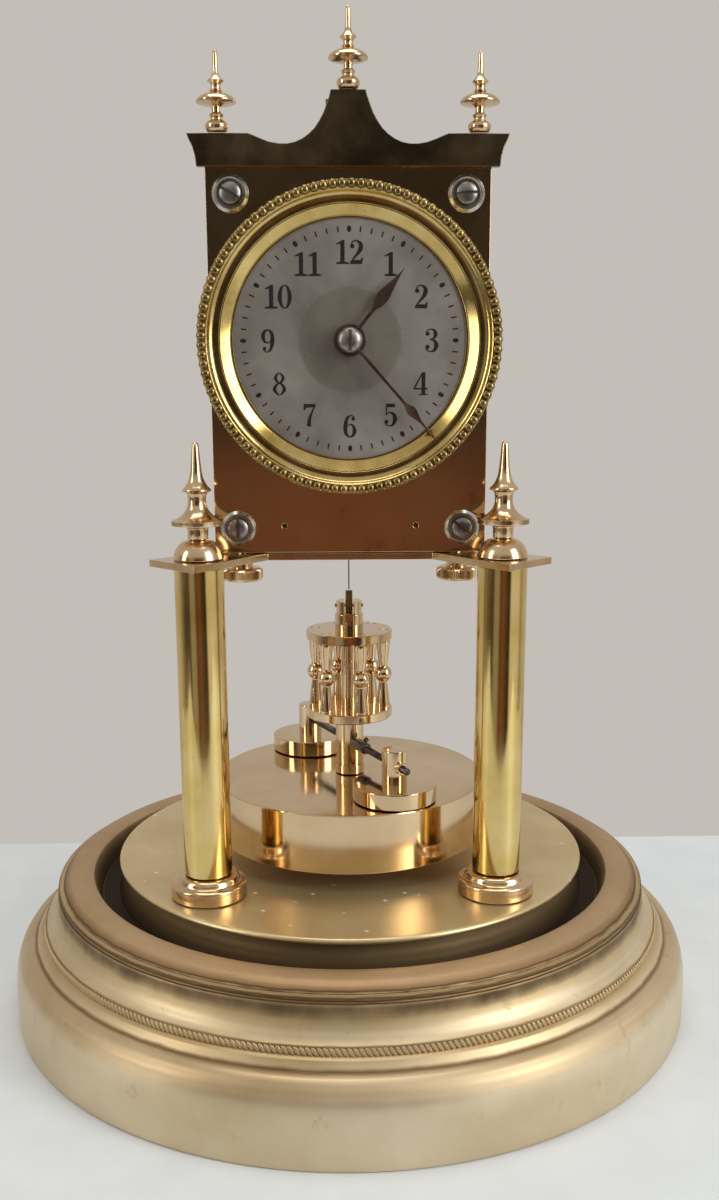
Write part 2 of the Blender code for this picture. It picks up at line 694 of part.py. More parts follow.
platform_disc = turned(
    "platform_disc",
    [
        (0.0, PLATFORM_T),
        (PLATFORM_R - PLATFORM_EASE, PLATFORM_T),
        (PLATFORM_R, PLATFORM_T - PLATFORM_EASE),
        (PLATFORM_R, PLATFORM_EASE),
        (PLATFORM_R - PLATFORM_EASE, 0.0),
        (0.0, 0.0),
    ],
    STEPS_BASE,
    (0.0, 0.0, PLATFORM_Z),
)
show(platform_disc, "polished_brass")
for piece, z in ((base_shell, PLATFORM_SEAT_Z), (platform_disc, PLATFORM_Z)):
    drilled(
        piece,
        [
            cylinder(f"{piece.name}_bolt_{side}", BOLT_HOLE_R, 4 * PLATFORM_T, (x, COLUMN_Y, z))
            for side, x in (("left", -COLUMN_X), ("right", COLUMN_X))
        ],
    )

# Columns, with their feet, bolts, domes and finial nuts
BOLT_TOP_Z = NUT_Z + NUT_BORE_H - SEAT_GAP
BOLT_HEAD_TOP_Z = PLATFORM_SEAT_Z - BASE_WALL - SEAT_GAP
for side, x in (("left", -COLUMN_X), ("right", COLUMN_X)):
    foot_profile = (
        [(COLUMN_R - COLUMN_WALL - RUN_GAP, FOOT_H + SPIGOT_H), (COLUMN_R - COLUMN_WALL - RUN_GAP, FOOT_H)]
        + shared(FOOT_SHARES, FOOT_R, FOOT_H)
        + [(BOLT_HOLE_R, 0.0), (BOLT_HOLE_R, FOOT_H + SPIGOT_H)]
    )
    foot = turned(f"foot_{side}", foot_profile, STEPS_COLUMN, (x, COLUMN_Y, FOOT_Z), ring=True)
    show(foot, "polished_brass")
    height = COLUMN_TOP_Z - COLUMN_LOW_Z
    tube_profile = [
        (COLUMN_R, height),
        (COLUMN_R, 0.0),
        (COLUMN_R - COLUMN_WALL, 0.0),
        (COLUMN_R - COLUMN_WALL, height),
    ]
    column = turned(f"column_{side}", tube_profile, STEPS_COLUMN, (x, COLUMN_Y, COLUMN_LOW_Z), ring=True)
    show(column, "column_brass")
    bolt = turned(
        f"tie_bolt_{side}",
        [
            (0.0, BOLT_TOP_Z - BOLT_HEAD_TOP_Z),
            (BOLT_R, BOLT_TOP_Z - BOLT_HEAD_TOP_Z),
            (BOLT_R, 0.0),
            (BOLT_HEAD_R, 0.0),
            (BOLT_HEAD_R, -BOLT_HEAD_H),
            (0.0, -BOLT_HEAD_H),
        ],
        STEPS_BOLT,
        (x, COLUMN_Y, BOLT_HEAD_TOP_Z),
    )
    show(bolt, "steel")
    dome_profile = shared(DOME_SHARES, DOME_R, DOME_H) + [(BOLT_HOLE_R, 0.0), (BOLT_HOLE_R, DOME_H)]
    dome = turned(f"cap_dome_{side}", dome_profile, STEPS_COLUMN, (x, COLUMN_Y, DOME_Z), ring=True)
    show(dome, "polished_brass")
    nut_profile = shared(NUT_SHARES, NUT_R, NUT_H) + [
        (BOLT_HOLE_R, 0.0),
        (BOLT_HOLE_R, NUT_BORE_H),
        (0.0, NUT_BORE_H),
    ]
    nut = turned(f"column_finial_{side}", nut_profile, STEPS_COLUMN, (x, COLUMN_Y, NUT_Z))
    show(nut, "polished_brass")

# Movement platform
bar_front = FRONT_Y + BAR_EDGE_IN
bar_back = BACK_Y - BAR_EDGE_IN
half = PLATE_W / 2
right_edge = [
    (BAR_NECK_X, bar_front),
    (COLUMN_X, COLUMN_Y - DIAMOND_DEEP),
    (COLUMN_X + DIAMOND_OUT, COLUMN_Y),
    (COLUMN_X, COLUMN_Y + DIAMOND_DEEP),
    (half, COLUMN_Y + DIAMOND_DEEP + (COLUMN_X - half)),
    (half, bar_back),
]
left_edge = [(-x, y) for x, y in reversed(right_edge)]
bar_holes = [
    circle(radius, STEPS_SMALL, sign * x, y)
    for sign in (-1, 1)
    for radius, x, y in ((BOLT_HOLE_R, COLUMN_X, COLUMN_Y), (TAP_R, PILLAR_X, MIDDLE_Y))
]
bar = flat("movement_platform", [right_edge + left_edge] + bar_holes, BAR_T, (0.0, 0.0, BAR_LOW_Z + BAR_T / 2))
show(bar, "polished_brass")

# Plates, pierced for the arbors and pillars
barrel_at = (BARREL_X, BARREL_Z)
centre_at = (0.0, DIAL_Z)
escape_at = (0.0, ESCAPE_Z)
anchor_at = (0.0, ANCHOR_Z)
second_at = third_corner(
    barrel_at,
    centre_at,
    (GREAT_TEETH + LEAVES) * GREAT_MODULE / 2,
    (WHEEL_TEETH + LEAVES) * SECOND_MODULE / 2,
    -1,
)
third_at = third_corner(
    centre_at,
    escape_at,
    (WHEEL_TEETH + LEAVES) * CENTRE_MODULE / 2,
    (WHEEL_TEETH + LEAVES) * THIRD_MODULE / 2,
    1,
)
motion_at = (MOTION_X, DIAL_Z)
plate_edge = [(-half, PLATE_LOW_Z), (half, PLATE_LOW_Z), (half, PLATE_TOP_Z), (-half, PLATE_TOP_Z)]
arbor_holes = [circle(PIVOT_HOLE_R, STEPS_HOLE, *at) for at in (second_at, third_at, escape_at, anchor_at)]
front_holes = arbor_holes + [circle(CENTRE_TIP_R + RUN_GAP, STEPS_HOLE, *centre_at)]
front_holes += [circle(WIND_R + RUN_GAP, STEPS_HOLE, *barrel_at)]
front_holes += [circle(SCREW_R + RUN_GAP, STEPS_HOLE, *at) for at in PILLAR_PLACES.values()]
front_holes += [circle(DRILL_R, STEPS_HOLE, sign * DRILL_X, PLATE_LOW_Z + DRILL_RISE) for sign in (-1, 1)]
front_holes += [circle(PIVOT_HOLE_R, STEPS_HOLE, *motion_at)]
back_holes = arbor_holes + [circle(PIVOT_HOLE_R, STEPS_HOLE, *centre_at)]
back_holes += [circle(WIND_R + RUN_GAP, STEPS_HOLE, *barrel_at)]
back_holes += [circle(RIVET_R + RUN_GAP, STEPS_HOLE, *at) for at in PILLAR_PLACES.values()]
for name, holes, y, look in (
    ("front_plate", front_holes, FRONT_Y + PLATE_T / 2, "plate_brass"),
    ("back_plate", back_holes, BACK_Y - PLATE_T / 2, "plate_brass"),
):
    show(flat(name, [plate_edge] + holes, PLATE_T, (0.0, y, 0.0), FRONT), look)

# Pillars, screws and washers: heights run towards the front
PILLAR_LEN = PLATE_SPACING - 2 * SEAT_GAP
for corner, (x, z) in PILLAR_PLACES.items():
    pillar = turned(
        f"pillar_{corner}",
        [
            (0.0, PILLAR_LEN - TAP_DEPTH),
            (TAP_R, PILLAR_LEN - TAP_DEPTH),
            (TAP_R, PILLAR_LEN),
            (PILLAR_R, PILLAR_LEN),
            (PILLAR_R, PILLAR_LEN - PILLAR_COLLAR),
            (PILLAR_WAIST_R, PILLAR_LEN - 2 * PILLAR_COLLAR),
            (PILLAR_WAIST_R, 2 * PILLAR_COLLAR),
            (PILLAR_R, PILLAR_COLLAR),
            (PILLAR_R, 0.0),
            (RIVET_R, 0.0),
            (RIVET_R, -PLATE_T - 2 * SEAT_GAP),
            (0.0, -PLATE_T - 2 * SEAT_GAP),
        ],
        STEPS_SMALL,
        (x, BACK_INNER_Y - SEAT_GAP, z),
        FRONT,
    )
    if corner.startswith("lower"):
        tap_at = (x, MIDDLE_Y, z - PILLAR_R)
        tap = cylinder(f"{pillar.name}_tap", TAP_R, 2 * PILLAR_R, tap_at, count=STEPS_HOLE)
        drilled(pillar, [tap])
    show(pillar, "train_brass")
    washer = turned(
        f"front_washer_{corner}",
        [
            (SCREW_R + RUN_GAP, WASHER_H),
            (SCREW_HEAD_R, WASHER_H),
            (WASHER_R - WASHER_H / 2, WASHER_H * 2 / 3),
            (WASHER_R, 0.0),
            (SCREW_R + RUN_GAP, 0.0),
        ],
        STEPS_SMALL,
        (x, FACE_Y, z),
        FRONT,
        ring=True,
    )
    show(washer, "bright_steel")
    head_low = WASHER_H + SEAT_GAP
    reach = PLATE_T + 2 * SEAT_GAP + TAP_DEPTH / 2
    screw = turned(
        f"front_screw_{corner}",
        [
            (0.0, head_low + SCREW_HEAD_H),
            (SCREW_HEAD_R * 2 / 3, head_low + SCREW_HEAD_H),
            (SCREW_HEAD_R, head_low + SCREW_HEAD_H * 2 / 3),
            (SCREW_HEAD_R, head_low),
            (SCREW_R, head_low),
            (SCREW_R, -reach),
            (0.0, -reach),
        ],
        STEPS_SMALL,
        (x, FACE_Y, z),
        FRONT,
    )
    slot_side = SCREW_SLOT_W / 2
    slot = flat(
        f"front_screw_{corner}_slot",
        [[(-WASHER_R, -slot_side), (WASHER_R, -slot_side), (WASHER_R, slot_side), (-WASHER_R, slot_side)]],
        2 * SCREW_SLOT_D,
        (x, FACE_Y - head_low - SCREW_HEAD_H, z),
        (math.pi / 2, math.radians(SLOT_TURNS[corner]), 0.0),
    )
    drilled(screw, [slot])
    show(screw, "steel")

# Thumbscrews, up through the platform into the lower pillars
for side, x in (("left", -PILLAR_X), ("right", PILLAR_X)):
    top = PLATE_LOW_Z + PILLAR_LOW_RISE - PILLAR_R + THUMB_REACH
    low = BAR_LOW_Z - SEAT_GAP - THUMB_NECK_H - THUMB_H
    thumb = turned(
        f"thumbscrew_{side}",
        [
            (0.0, top - low),
            (TAP_R - RUN_GAP, top - low),
            (TAP_R - RUN_GAP, THUMB_H + THUMB_NECK_H),
            (THUMB_NECK_R, THUMB_H + THUMB_NECK_H),
            (THUMB_NECK_R, THUMB_H),
            (THUMB_R - THUMB_H / 4, THUMB_H),
            (THUMB_R, THUMB_H * 3 / 4),
            (THUMB_R, THUMB_H / 4),
            (THUMB_R - THUMB_H / 4, 0.0),
            (0.0, 0.0),
        ],
        STEPS_COLUMN,
        (x, MIDDLE_Y, low),
    )
    show(thumb, "polished_brass")

# Crown and its finials
right_top = shared(CROWN_SHARES, CROWN_W / 2, CROWN_H)
right_end = shared(CROWN_END_SHARES, CROWN_W / 2, CROWN_H)
crown_right = right_end + right_top
crown_edge = crown_right + [(-x, y) for x, y in reversed(crown_right)]
crown = flat("crown", [crown_edge], CROWN_T, (0.0, CROWN_Y, CROWN_BOTTOM_Z), FRONT)
show(crown, "tarnished_brass")
shoulder_z = CROWN_BOTTOM_Z + CROWN_SHARES[0][1] * CROWN_H
for name, x, z in (
    ("left", -CROWN_FINIAL_X, shoulder_z),
    ("centre", 0.0, CROWN_TOP_Z),
    ("right", CROWN_FINIAL_X, shoulder_z),
):
    finial_profile = shared(CROWN_FINIAL_SHARES, CROWN_FINIAL_R, CROWN_FINIAL_H) + [(0.0, 0.0)]
    finial = turned(f"crown_finial_{name}", finial_profile, STEPS_SMALL, (x, CROWN_Y, z + SEAT_GAP))
    show(finial, "polished_brass")

# Bezel: skirt, bead ring and dish
bead_at = (BEZEL_R - BEAD_R, BEZEL_H - BEAD_R)
bead_arc = [
    (bead_at[0] + BEAD_R * math.cos(math.radians(a)), bead_at[1] + BEAD_R * math.sin(math.radians(a)))
    for a in (150, 90, 30, -30, -75)
]
dish = shared(BEZEL_DISH_SHARES, BEZEL_R, BEZEL_H)
skirt_r = BEZEL_R - BEZEL_SKIRT_IN
dial_top = DIAL_RISE + DIAL_T
bezel_profile = (
    bead_arc
    + [(skirt_r, 0.0), (skirt_r - BEZEL_WALL, 0.0), (skirt_r - BEZEL_WALL, dial_top + SEAT_GAP)]
    + [(DIAL_OPEN_R, dial_top + SEAT_GAP), (DIAL_OPEN_R, dial_top + SEAT_GAP + BEZEL_LIP)]
    + dish[::-1]
)
bezel = turned("bezel", bezel_profile, STEPS_DIAL, (0.0, FACE_Y, DIAL_Z), FRONT, ring=True)
show(bezel, "column_brass")
dial_profile = [
    (HOUR_PIPE_R + RUN_GAP, DIAL_T),
    (DIAL_R, DIAL_T),
    (DIAL_R, 0.0),
    (HOUR_PIPE_R + RUN_GAP, 0.0),
]
dial = turned("dial", dial_profile, STEPS_DIAL, (0.0, FACE_Y - DIAL_RISE, DIAL_Z), FRONT, ring=True)
show(dial, "silvered")


# Hands and motion work
def hand(name, length, width, shares, hub_r, bore, rise, angle):
    """A hand that points up when unturned, then turns clockwise to its hour."""
    right = shared([(w, s) for s, w in shares], width / 2, length)
    hub_cut = math.degrees(math.asin(right[0][0] / hub_r))
    arc = [90.0 + hub_cut + (360.0 - 2 * hub_cut) * i / 14 for i in range(15)]
    hub = [(hub_r * math.cos(math.radians(a)), hub_r * math.sin(math.radians(a))) for a in arc]
    left = [(-x, y) for x, y in reversed(right[:-1])]
    outline = hub + right[1:] + left[:-1]
    turn = (math.pi / 2, math.radians(angle), 0.0)
    place = (0.0, FACE_Y - rise - HAND_T / 2, DIAL_Z)
    return show(flat(name, [outline, circle(bore, STEPS_SMALL)], HAND_T, place, turn), "steel")


hand(
    "hour_hand",
    HOUR_HAND_L,
    HOUR_HAND_W,
    HOUR_HAND_SHARES,
    HOUR_HUB_R,
    HOUR_PIPE_R + RUN_GAP,
    HOUR_HAND_RISE,
    HOUR_ANGLE,
)
hand(
    "minute_hand",
    MINUTE_HAND_L,
    MINUTE_HAND_W,
    MINUTE_HAND_SHARES,
    MINUTE_HUB_R,
    CANNON_R + RUN_GAP,
    MINUTE_HAND_RISE,
    MINUTE_ANGLE,
)


nut_low = CANNON_TOP + SEAT_GAP
hand_nut = turned(
    "hand_nut",
    shared(HAND_NUT_SHARES, HAND_NUT_R, HAND_NUT_H, nut_low)
    + [
        (CENTRE_TIP_R + RUN_GAP, nut_low),
        (CENTRE_TIP_R + RUN_GAP, nut_low + HAND_NUT_H / 2),
        (0.0, nut_low + HAND_NUT_H / 2),
    ],
    STEPS_COLUMN,
    (0.0, FACE_Y, DIAL_Z),
    FRONT,
)
nut_slot = box(
    "hand_nut_slot",
    (HAND_NUT_SLOT, HAND_NUT_H / 2, 3 * HAND_NUT_R),
    (0.0, FACE_Y - nut_low - HAND_NUT_H, DIAL_Z),
)
show(drilled(hand_nut, [nut_slot]), "bright_steel")


def rod(name, pieces, place, steps=STEPS_HOLE, bore=0.0):
    """A stepped round bar facing front: (radius, low, high) for each length, from the back."""
    points = []
    for radius, low, high in reversed(pieces):
        points += [(radius, high), (radius, low)]
    if bore:
        points = [(bore, pieces[-1][2])] + points + [(bore, pieces[0][1])]
        return turned(name, points, steps, place, FRONT, ring=True)
    points = [(0.0, pieces[-1][2])] + points + [(0.0, pieces[0][1])]
    return turned(name, points, steps, place, FRONT)


def slab(name, outlines, low, thickness, place):
    """A flat piece facing front, from its own low face forward."""
    return flat(name, outlines, thickness, (place[0], place[1] - low - thickness / 2, place[2]), FRONT)


motion_place = (0.0, FACE_Y, DIAL_Z)
cannon_bore = CENTRE_TIP_R + RUN_GAP
cannon = rod("cannon_pinion", [(CANNON_R, 0.0, CANNON_TOP)], motion_place, STEPS_SMALL, cannon_bore)
cannon_leaves = slab(
    "cannon_leaves",
    [leaf_edge(CANNON_TEETH, MOTION_MODULE, 0.0), circle(cannon_bore + CANNON_R / 8, STEPS_SMALL)],
    CANNON_RISE,
    2 * MOTION_T - CANNON_RISE,
    motion_place,
)
show(joined(cannon, [cannon_leaves]), "steel")

minute_place = (MOTION_X, FACE_Y, DIAL_Z)
minute_low = CANNON_RISE + MOTION_T / 4
minute_arbor = rod(
    "minute_wheel",
    [(PIVOT_R, -PLATE_T, 0.0), (PIVOT_R + RUN_GAP, 0.0, DIAL_RISE - SEAT_GAP)],
    minute_place,
)
minute_rim = slab(
    "minute_rim",
    [wheel_edge(MINUTE_TEETH, MOTION_MODULE, meshed_turn(0.0, CANNON_TEETH, 0.0, MINUTE_TEETH))],
    minute_low,
    MOTION_T,
    minute_place,
)
minute_leaves = slab(
    "minute_leaves",
    [leaf_edge(MINUTE_LEAVES, HOUR_MODULE, 0.0)],
    minute_low + MOTION_T / 2,
    DIAL_RISE - 2 * SEAT_GAP - minute_low - MOTION_T / 2,
    minute_place,
)
show(joined(minute_arbor, [minute_rim, minute_leaves]), "train_brass")

hour_pipe = rod(
    "hour_wheel",
    [(HOUR_PIPE_R, HOUR_WHEEL_RISE, HOUR_PIPE_TOP)],
    motion_place,
    STEPS_SMALL,
    CANNON_R + RUN_GAP,
)
hour_rim = slab(
    "hour_rim",
    [
        wheel_edge(HOUR_TEETH, HOUR_MODULE, meshed_turn(0.0, MINUTE_LEAVES, 180.0, HOUR_TEETH)),
        circle(CANNON_R + 2 * RUN_GAP, STEPS_SMALL),
    ],
    HOUR_WHEEL_RISE,
    MOTION_T,
    motion_place,
)
show(joined(hour_pipe, [hour_rim]), "train_brass")

# Going train. Heights run forward from the back plate's inner face.
TRAIN_Y = BACK_INNER_Y
pivot_low = -PLATE_T + SEAT_GAP
pivot_high = PLATE_SPACING + PLATE_T - SEAT_GAP
second_turn = meshed_turn(0.0, GREAT_TEETH, bearing_of(barrel_at, second_at), LEAVES)
centre_turn = meshed_turn(0.0, WHEEL_TEETH, bearing_of(second_at, centre_at), LEAVES)
third_turn = meshed_turn(0.0, WHEEL_TEETH, bearing_of(centre_at, third_at), LEAVES)
escape_turn = meshed_turn(0.0, WHEEL_TEETH, bearing_of(third_at, escape_at), LEAVES)


def arbor(name, at, rim, rim_low, leaves, leaf_low, leaf_high, high_end=None):
    """A pinion and wheel on one arbor, joined."""
    place = (at[0], TRAIN_Y, at[1])
    ends = [(PIVOT_R, pivot_low, SEAT_GAP), (ARBOR_R, SEAT_GAP, PLATE_SPACING - SEAT_GAP)]
    ends.append(high_end or (PIVOT_R, PLATE_SPACING - SEAT_GAP, pivot_high))
    bar_piece = rod(name, ends, place, STEPS_SMALL)
    rim_piece = slab(name + "_rim", rim, rim_low, WHEEL_T, place)
    leaf_piece = slab(name + "_leaves", [leaves], leaf_low, leaf_high - leaf_low, place)
    return show(joined(bar_piece, [rim_piece, leaf_piece], "MANIFOLD"), "train_brass")


def spoked(teeth, module):
    root = teeth * module / 2
    return [wheel_edge(teeth, module, 0.0)] + spokes(root * RIM_SHARE, root * HUB_SHARE, 4, 2 * ARBOR_R)


arbor(
    "second_wheel",
    second_at,
    spoked(WHEEL_TEETH, SECOND_MODULE),
    SECOND_BACK,
    leaf_edge(LEAVES, GREAT_MODULE, second_turn),
    SECOND_BACK + WHEEL_T / 2,
    GREAT_BACK + GREAT_T + LEAF_OVER,
)
arbor(
    "centre_wheel",
    centre_at,
    spoked(WHEEL_TEETH, CENTRE_MODULE),
    CENTRE_BACK,
    leaf_edge(LEAVES, SECOND_MODULE, centre_turn),
    SECOND_BACK - LEAF_OVER,
    SECOND_BACK + WHEEL_T + LEAF_OVER,
    (CENTRE_TIP_R, PLATE_SPACING - SEAT_GAP, PLATE_SPACING + PLATE_T + SEAT_GAP + nut_low + HAND_NUT_H / 4),
)
arbor(
    "third_wheel",
    third_at,
    spoked(WHEEL_TEETH, THIRD_MODULE),
    THIRD_BACK,
    leaf_edge(LEAVES, CENTRE_MODULE, third_turn),
    CENTRE_BACK - LEAF_OVER,
    CENTRE_BACK + WHEEL_T + LEAF_OVER,
)


def ratchet_edge(teeth, radius, depth):
    """Sloped teeth: a tip, then a steep fall and a long rise."""
    pitch = 2 * math.pi / teeth
    points = []
    for i in range(teeth):
        for r, share in ((radius, 0.0), (radius - depth, RATCHET_FALL_SHARE)):
            points.append((r * math.cos((i + share) * pitch), r * math.sin((i + share) * pitch)))
    return points


arbor(
    "escape_wheel",
    escape_at,
    [ratchet_edge(ESCAPE_TEETH, ESCAPE_R, ESCAPE_TOOTH)],
    ESCAPE_BACK,
    leaf_edge(LEAVES, THIRD_MODULE, escape_turn),
    THIRD_BACK - LEAF_OVER,
    THIRD_BACK + WHEEL_T + LEAF_OVER,
)

# Barrel with its great wheel, and the mainspring inside
barrel_place = (BARREL_X, TRAIN_Y, BARREL_Z)
wall_low = GREAT_BACK + GREAT_T / 2
wall_high = GREAT_BACK + GREAT_T + BARREL_LEN
barrel = rod("barrel", [(BARREL_R, wall_low, wall_high)], barrel_place, STEPS_GALLERY, BARREL_R - BARREL_WALL)
great_rim = slab(
    "great_rim",
    [wheel_edge(GREAT_TEETH, GREAT_MODULE, 0.0), circle(WIND_R + RUN_GAP, STEPS_SMALL)],
    GREAT_BACK,
    GREAT_T,
    barrel_place,
)
show(joined(barrel, [great_rim]), "train_brass")

spring_out = BARREL_R - BARREL_WALL - SEAT_GAP
spring_count = SPRING_TURNS * SPRING_POINTS
spiral = []
for i in range(spring_count + 1):
    share = i / spring_count
    angle = 2 * math.pi * SPRING_TURNS * share
    radius = spring_out * share + SPRING_IN_R * (1 - share)
    spiral.append((radius * math.cos(angle), radius * math.sin(angle), radius))
spring_outline = [(x, y) for x, y, r in spiral]
spring_outline += [(x * (r - SPRING_T) / r, y * (r - SPRING_T) / r) for x, y, r in reversed(spiral)]
spring_low = GREAT_BACK + GREAT_T + SEAT_GAP
mainspring = slab("mainspring", [spring_outline], spring_low, BARREL_LEN - 2 * BARREL_WALL, barrel_place)
show(mainspring, "steel")

# Winding arbor with its ratchet wheel and square, wound from the back
wind_place = (BARREL_X, BACK_Y, BARREL_Z)
ratchet_low = -RATCHET_T - 2 * SEAT_GAP
wind_span = (WIND_R, ratchet_low - SEAT_GAP, BACK_Y - FRONT_Y - SEAT_GAP)
wind = rod("winding_arbor", [wind_span], wind_place, STEPS_SMALL)
ratchet_teeth = ratchet_edge(RATCHET_TEETH, RATCHET_R, RATCHET_TOOTH)
ratchet = slab("ratchet_rim", [ratchet_teeth], ratchet_low, RATCHET_T, wind_place)
square = slab(
    "wind_square",
    [circle(WIND_SQUARE / math.sqrt(2), 4, turn=45.0)],
    ratchet_low - WIND_SQUARE_L,
    WIND_SQUARE_L + RATCHET_T / 2,
    wind_place,
)
show(joined(wind, [ratchet, square]), "steel")

click_at = (BARREL_X + RATCHET_TOOTH, BARREL_Z + RATCHET_R + 2 * CLICK_SCREW_R)
nose_at = third_corner(barrel_at, click_at, RATCHET_R + CLICK_W / 2, CLICK_L, 1)
click_bearing = bearing_of(click_at, nose_at)
head = [
    (CLICK_SCREW_R * math.cos(math.radians(a)), CLICK_SCREW_R * math.sin(math.radians(a)))
    for a in range(60, 301, 40)
]
click_edge = head + [
    (CLICK_L / 2, -CLICK_W / 2),
    (CLICK_L, -CLICK_W / 4),
    (CLICK_L, CLICK_W / 5),
    (CLICK_L / 2, CLICK_W / 2),
]
click_place = (click_at[0], BACK_Y + SEAT_GAP + CLICK_T / 2, click_at[1])
click = flat("click", [click_edge], CLICK_T, click_place, (math.pi / 2, -math.radians(click_bearing), 0.0))
click_head = cylinder(
    "click_head",
    CLICK_SCREW_R * CLICK_HEAD_SHARE,
    CLICK_T,
    (click_at[0], click_place[1] + CLICK_T * CLICK_HEAD_SHARE, click_at[1]),
    FRONT,
)
show(joined(click, [click_head]), "steel")

# Anchor, with the pin that drives the fork
anchor_place = (0.0, TRAIN_Y, ANCHOR_Z)
anchor = rod(
    "anchor",
    [
        (PIVOT_R, pivot_low, SEAT_GAP),
        (ARBOR_R, SEAT_GAP, PLATE_SPACING - SEAT_GAP),
        (PIVOT_R, PLATE_SPACING - SEAT_GAP, pivot_high),
    ],
    anchor_place,
)
angles = [math.radians(90.0 - ANCHOR_SPAN + 2 * ANCHOR_SPAN * i / 8) for i in range(9)]
outer_r = ANCHOR_IN_R + ANCHOR_DEEP
arms = [(outer_r * math.cos(a), outer_r * math.sin(a) - ANCHOR_RISE) for a in angles]
arms += [(ANCHOR_IN_R * math.cos(a), ANCHOR_IN_R * math.sin(a) - ANCHOR_RISE) for a in reversed(angles)]
anchor_low = ESCAPE_BACK + WHEEL_T / 2 - ANCHOR_T / 2
anchor_arms = slab("anchor_arms", [arms], anchor_low, ANCHOR_T, anchor_place)
anchor_hub = slab(
    "anchor_hub",
    [circle(ANCHOR_HUB_R, STEPS_SMALL)],
    anchor_low + ANCHOR_T / 8,
    ANCHOR_T * 3 / 4,
    anchor_place,
)
anchor_pin = cylinder(
    "anchor_pin",
    ANCHOR_PIN_R,
    ANCHOR_PIN_UP,
    (0.0, ANCHOR_PIN_Y, ANCHOR_Z + ANCHOR_PIN_UP / 2),
    count=STEPS_HOLE,
)
show(joined(anchor, [anchor_arms, anchor_hub, anchor_pin]), "steel")

# Suspension: bracket with its top block, ribbon and fork
bracket_y = BACK_Y + SEAT_GAP + BRACKET_T / 2
wide = BRACKET_W / 2
window = BRACKET_WINDOW_W / 2
bracket = flat(
    "suspension_bracket",
    [
        [(-wide, BRACKET_LOW), (wide, BRACKET_LOW), (wide, BRACKET_TOP), (-wide, BRACKET_TOP)],
        [
            (-window, BRACKET_WINDOW_LOW),
            (window, BRACKET_WINDOW_LOW),
            (window, BRACKET_WINDOW_TOP),
            (-window, BRACKET_WINDOW_TOP),
        ],
    ],
    BRACKET_T,
    (0.0, bracket_y, 0.0),
    FRONT,
)
notch = TOP_BLOCK_W / 2 + RUN_GAP
arm_z = BRACKET_TOP - BRACKET_ARM_H / 2
arm_piece = flat(
    "bracket_arm",
    [
        [
            (-wide, bracket_y),
            (wide, bracket_y),
            (wide, BRACKET_ARM_BACK),
            (notch, BRACKET_ARM_BACK),
            (notch, -notch),
            (-notch, -notch),
            (-notch, BRACKET_ARM_BACK),
            (-wide, BRACKET_ARM_BACK),
        ]
    ],
    BRACKET_ARM_H - SEAT_GAP,
    (0.0, 0.0, arm_z),
)
block_z = BRACKET_TOP - BRACKET_ARM_H - TOP_BLOCK_H / 4
top_block = box("top_block", (TOP_BLOCK_W, TOP_BLOCK_W / 2, TOP_BLOCK_H + BRACKET_ARM_H), (0.0, 0.0, block_z))
block_pin = cylinder(
    "top_pin",
    HOOK_PIN_R,
    BRACKET_W + 2 * HOOK_PIN_OVER,
    (0.0, 0.0, arm_z),
    SIDEWAYS,
    STEPS_HOLE,
)
show(joined(bracket, [arm_piece, top_block, block_pin]), "polished_brass")
ribbon_top = block_z - (TOP_BLOCK_H + BRACKET_ARM_H) / 2 - SEAT_GAP
ribbon_low = HOOK_TOP_Z + SEAT_GAP
ribbon = box(
    "suspension_ribbon",
    (RIBBON_W, RIBBON_T, ribbon_top - ribbon_low),
    (0.0, 0.0, (ribbon_top + ribbon_low) / 2),
)
show(ribbon, "bright_steel")
slot_in = ANCHOR_PIN_R + RUN_GAP
slot_out = slot_in + FORK_LEG
fork_reach = ANCHOR_PIN_Y - FORK_TIP
hub_angle = math.degrees(math.acos(slot_out / FORK_HUB_R))
hub_arc = [
    (FORK_HUB_R * math.cos(math.radians(a)), FORK_HUB_R * math.sin(math.radians(a)))
    for a in [-hub_angle + (180.0 + 2 * hub_angle) * i / 10 for i in range(11)]
]
fork_edge = hub_arc + [(-slot_out, fork_reach), (-slot_in, fork_reach), (-slot_in, -FORK_HUB_R)]
fork_edge += [(slot_in, -FORK_HUB_R), (slot_in, fork_reach), (slot_out, fork_reach)]
ribbon_hole = circle(math.hypot(RIBBON_W, RIBBON_T) / 2 + RUN_GAP, STEPS_HOLE)
fork = flat("fork", [fork_edge, ribbon_hole], FORK_T, (0.0, 0.0, FORK_Z + FORK_T / 2))
show(fork, "train_brass")

# Pendulum bob
bob = turned(
    "pendulum_disc",
    [
        (0.0, BOB_T),
        (BOB_R - BOB_EASE, BOB_T),
        (BOB_R, BOB_T - BOB_EASE),
        (BOB_R, BOB_EASE),
        (BOB_R - BOB_EASE, 0.0),
        (0.0, 0.0),
    ],
    STEPS_DISC,
    (0.0, 0.0, BOB_LOW_Z),
)
show(bob, "copper_gold")

# Gallery: post, lower disc and balusters in one, then the top disc with its hub
gallery_foot_z = BOB_TOP_Z + SEAT_GAP
gallery_floor = GALLERY_LOW_Z + GALLERY_T - gallery_foot_z
gallery_under = GALLERY_LOW_Z - gallery_foot_z
top_under_z = GALLERY_TOP_Z - GALLERY_T
gallery = turned(
    "gallery_lower",
    [
        (0.0, top_under_z - SEAT_GAP - gallery_foot_z),
        (GALLERY_ROD_R, top_under_z - SEAT_GAP - gallery_foot_z),
        (GALLERY_ROD_R, gallery_floor),
        (GALLERY_R, gallery_floor),
        (GALLERY_R, gallery_under),
        (POST_R, gallery_under),
        (POST_R, POST_FOOT_H),
        (POST_FOOT_R, POST_FOOT_H - BOB_EASE),
        (POST_FOOT_R, 0.0),
        (0.0, 0.0),
    ],
    STEPS_GALLERY,
    (0.0, 0.0, gallery_foot_z),
)
baluster_low_z = GALLERY_LOW_Z + GALLERY_T
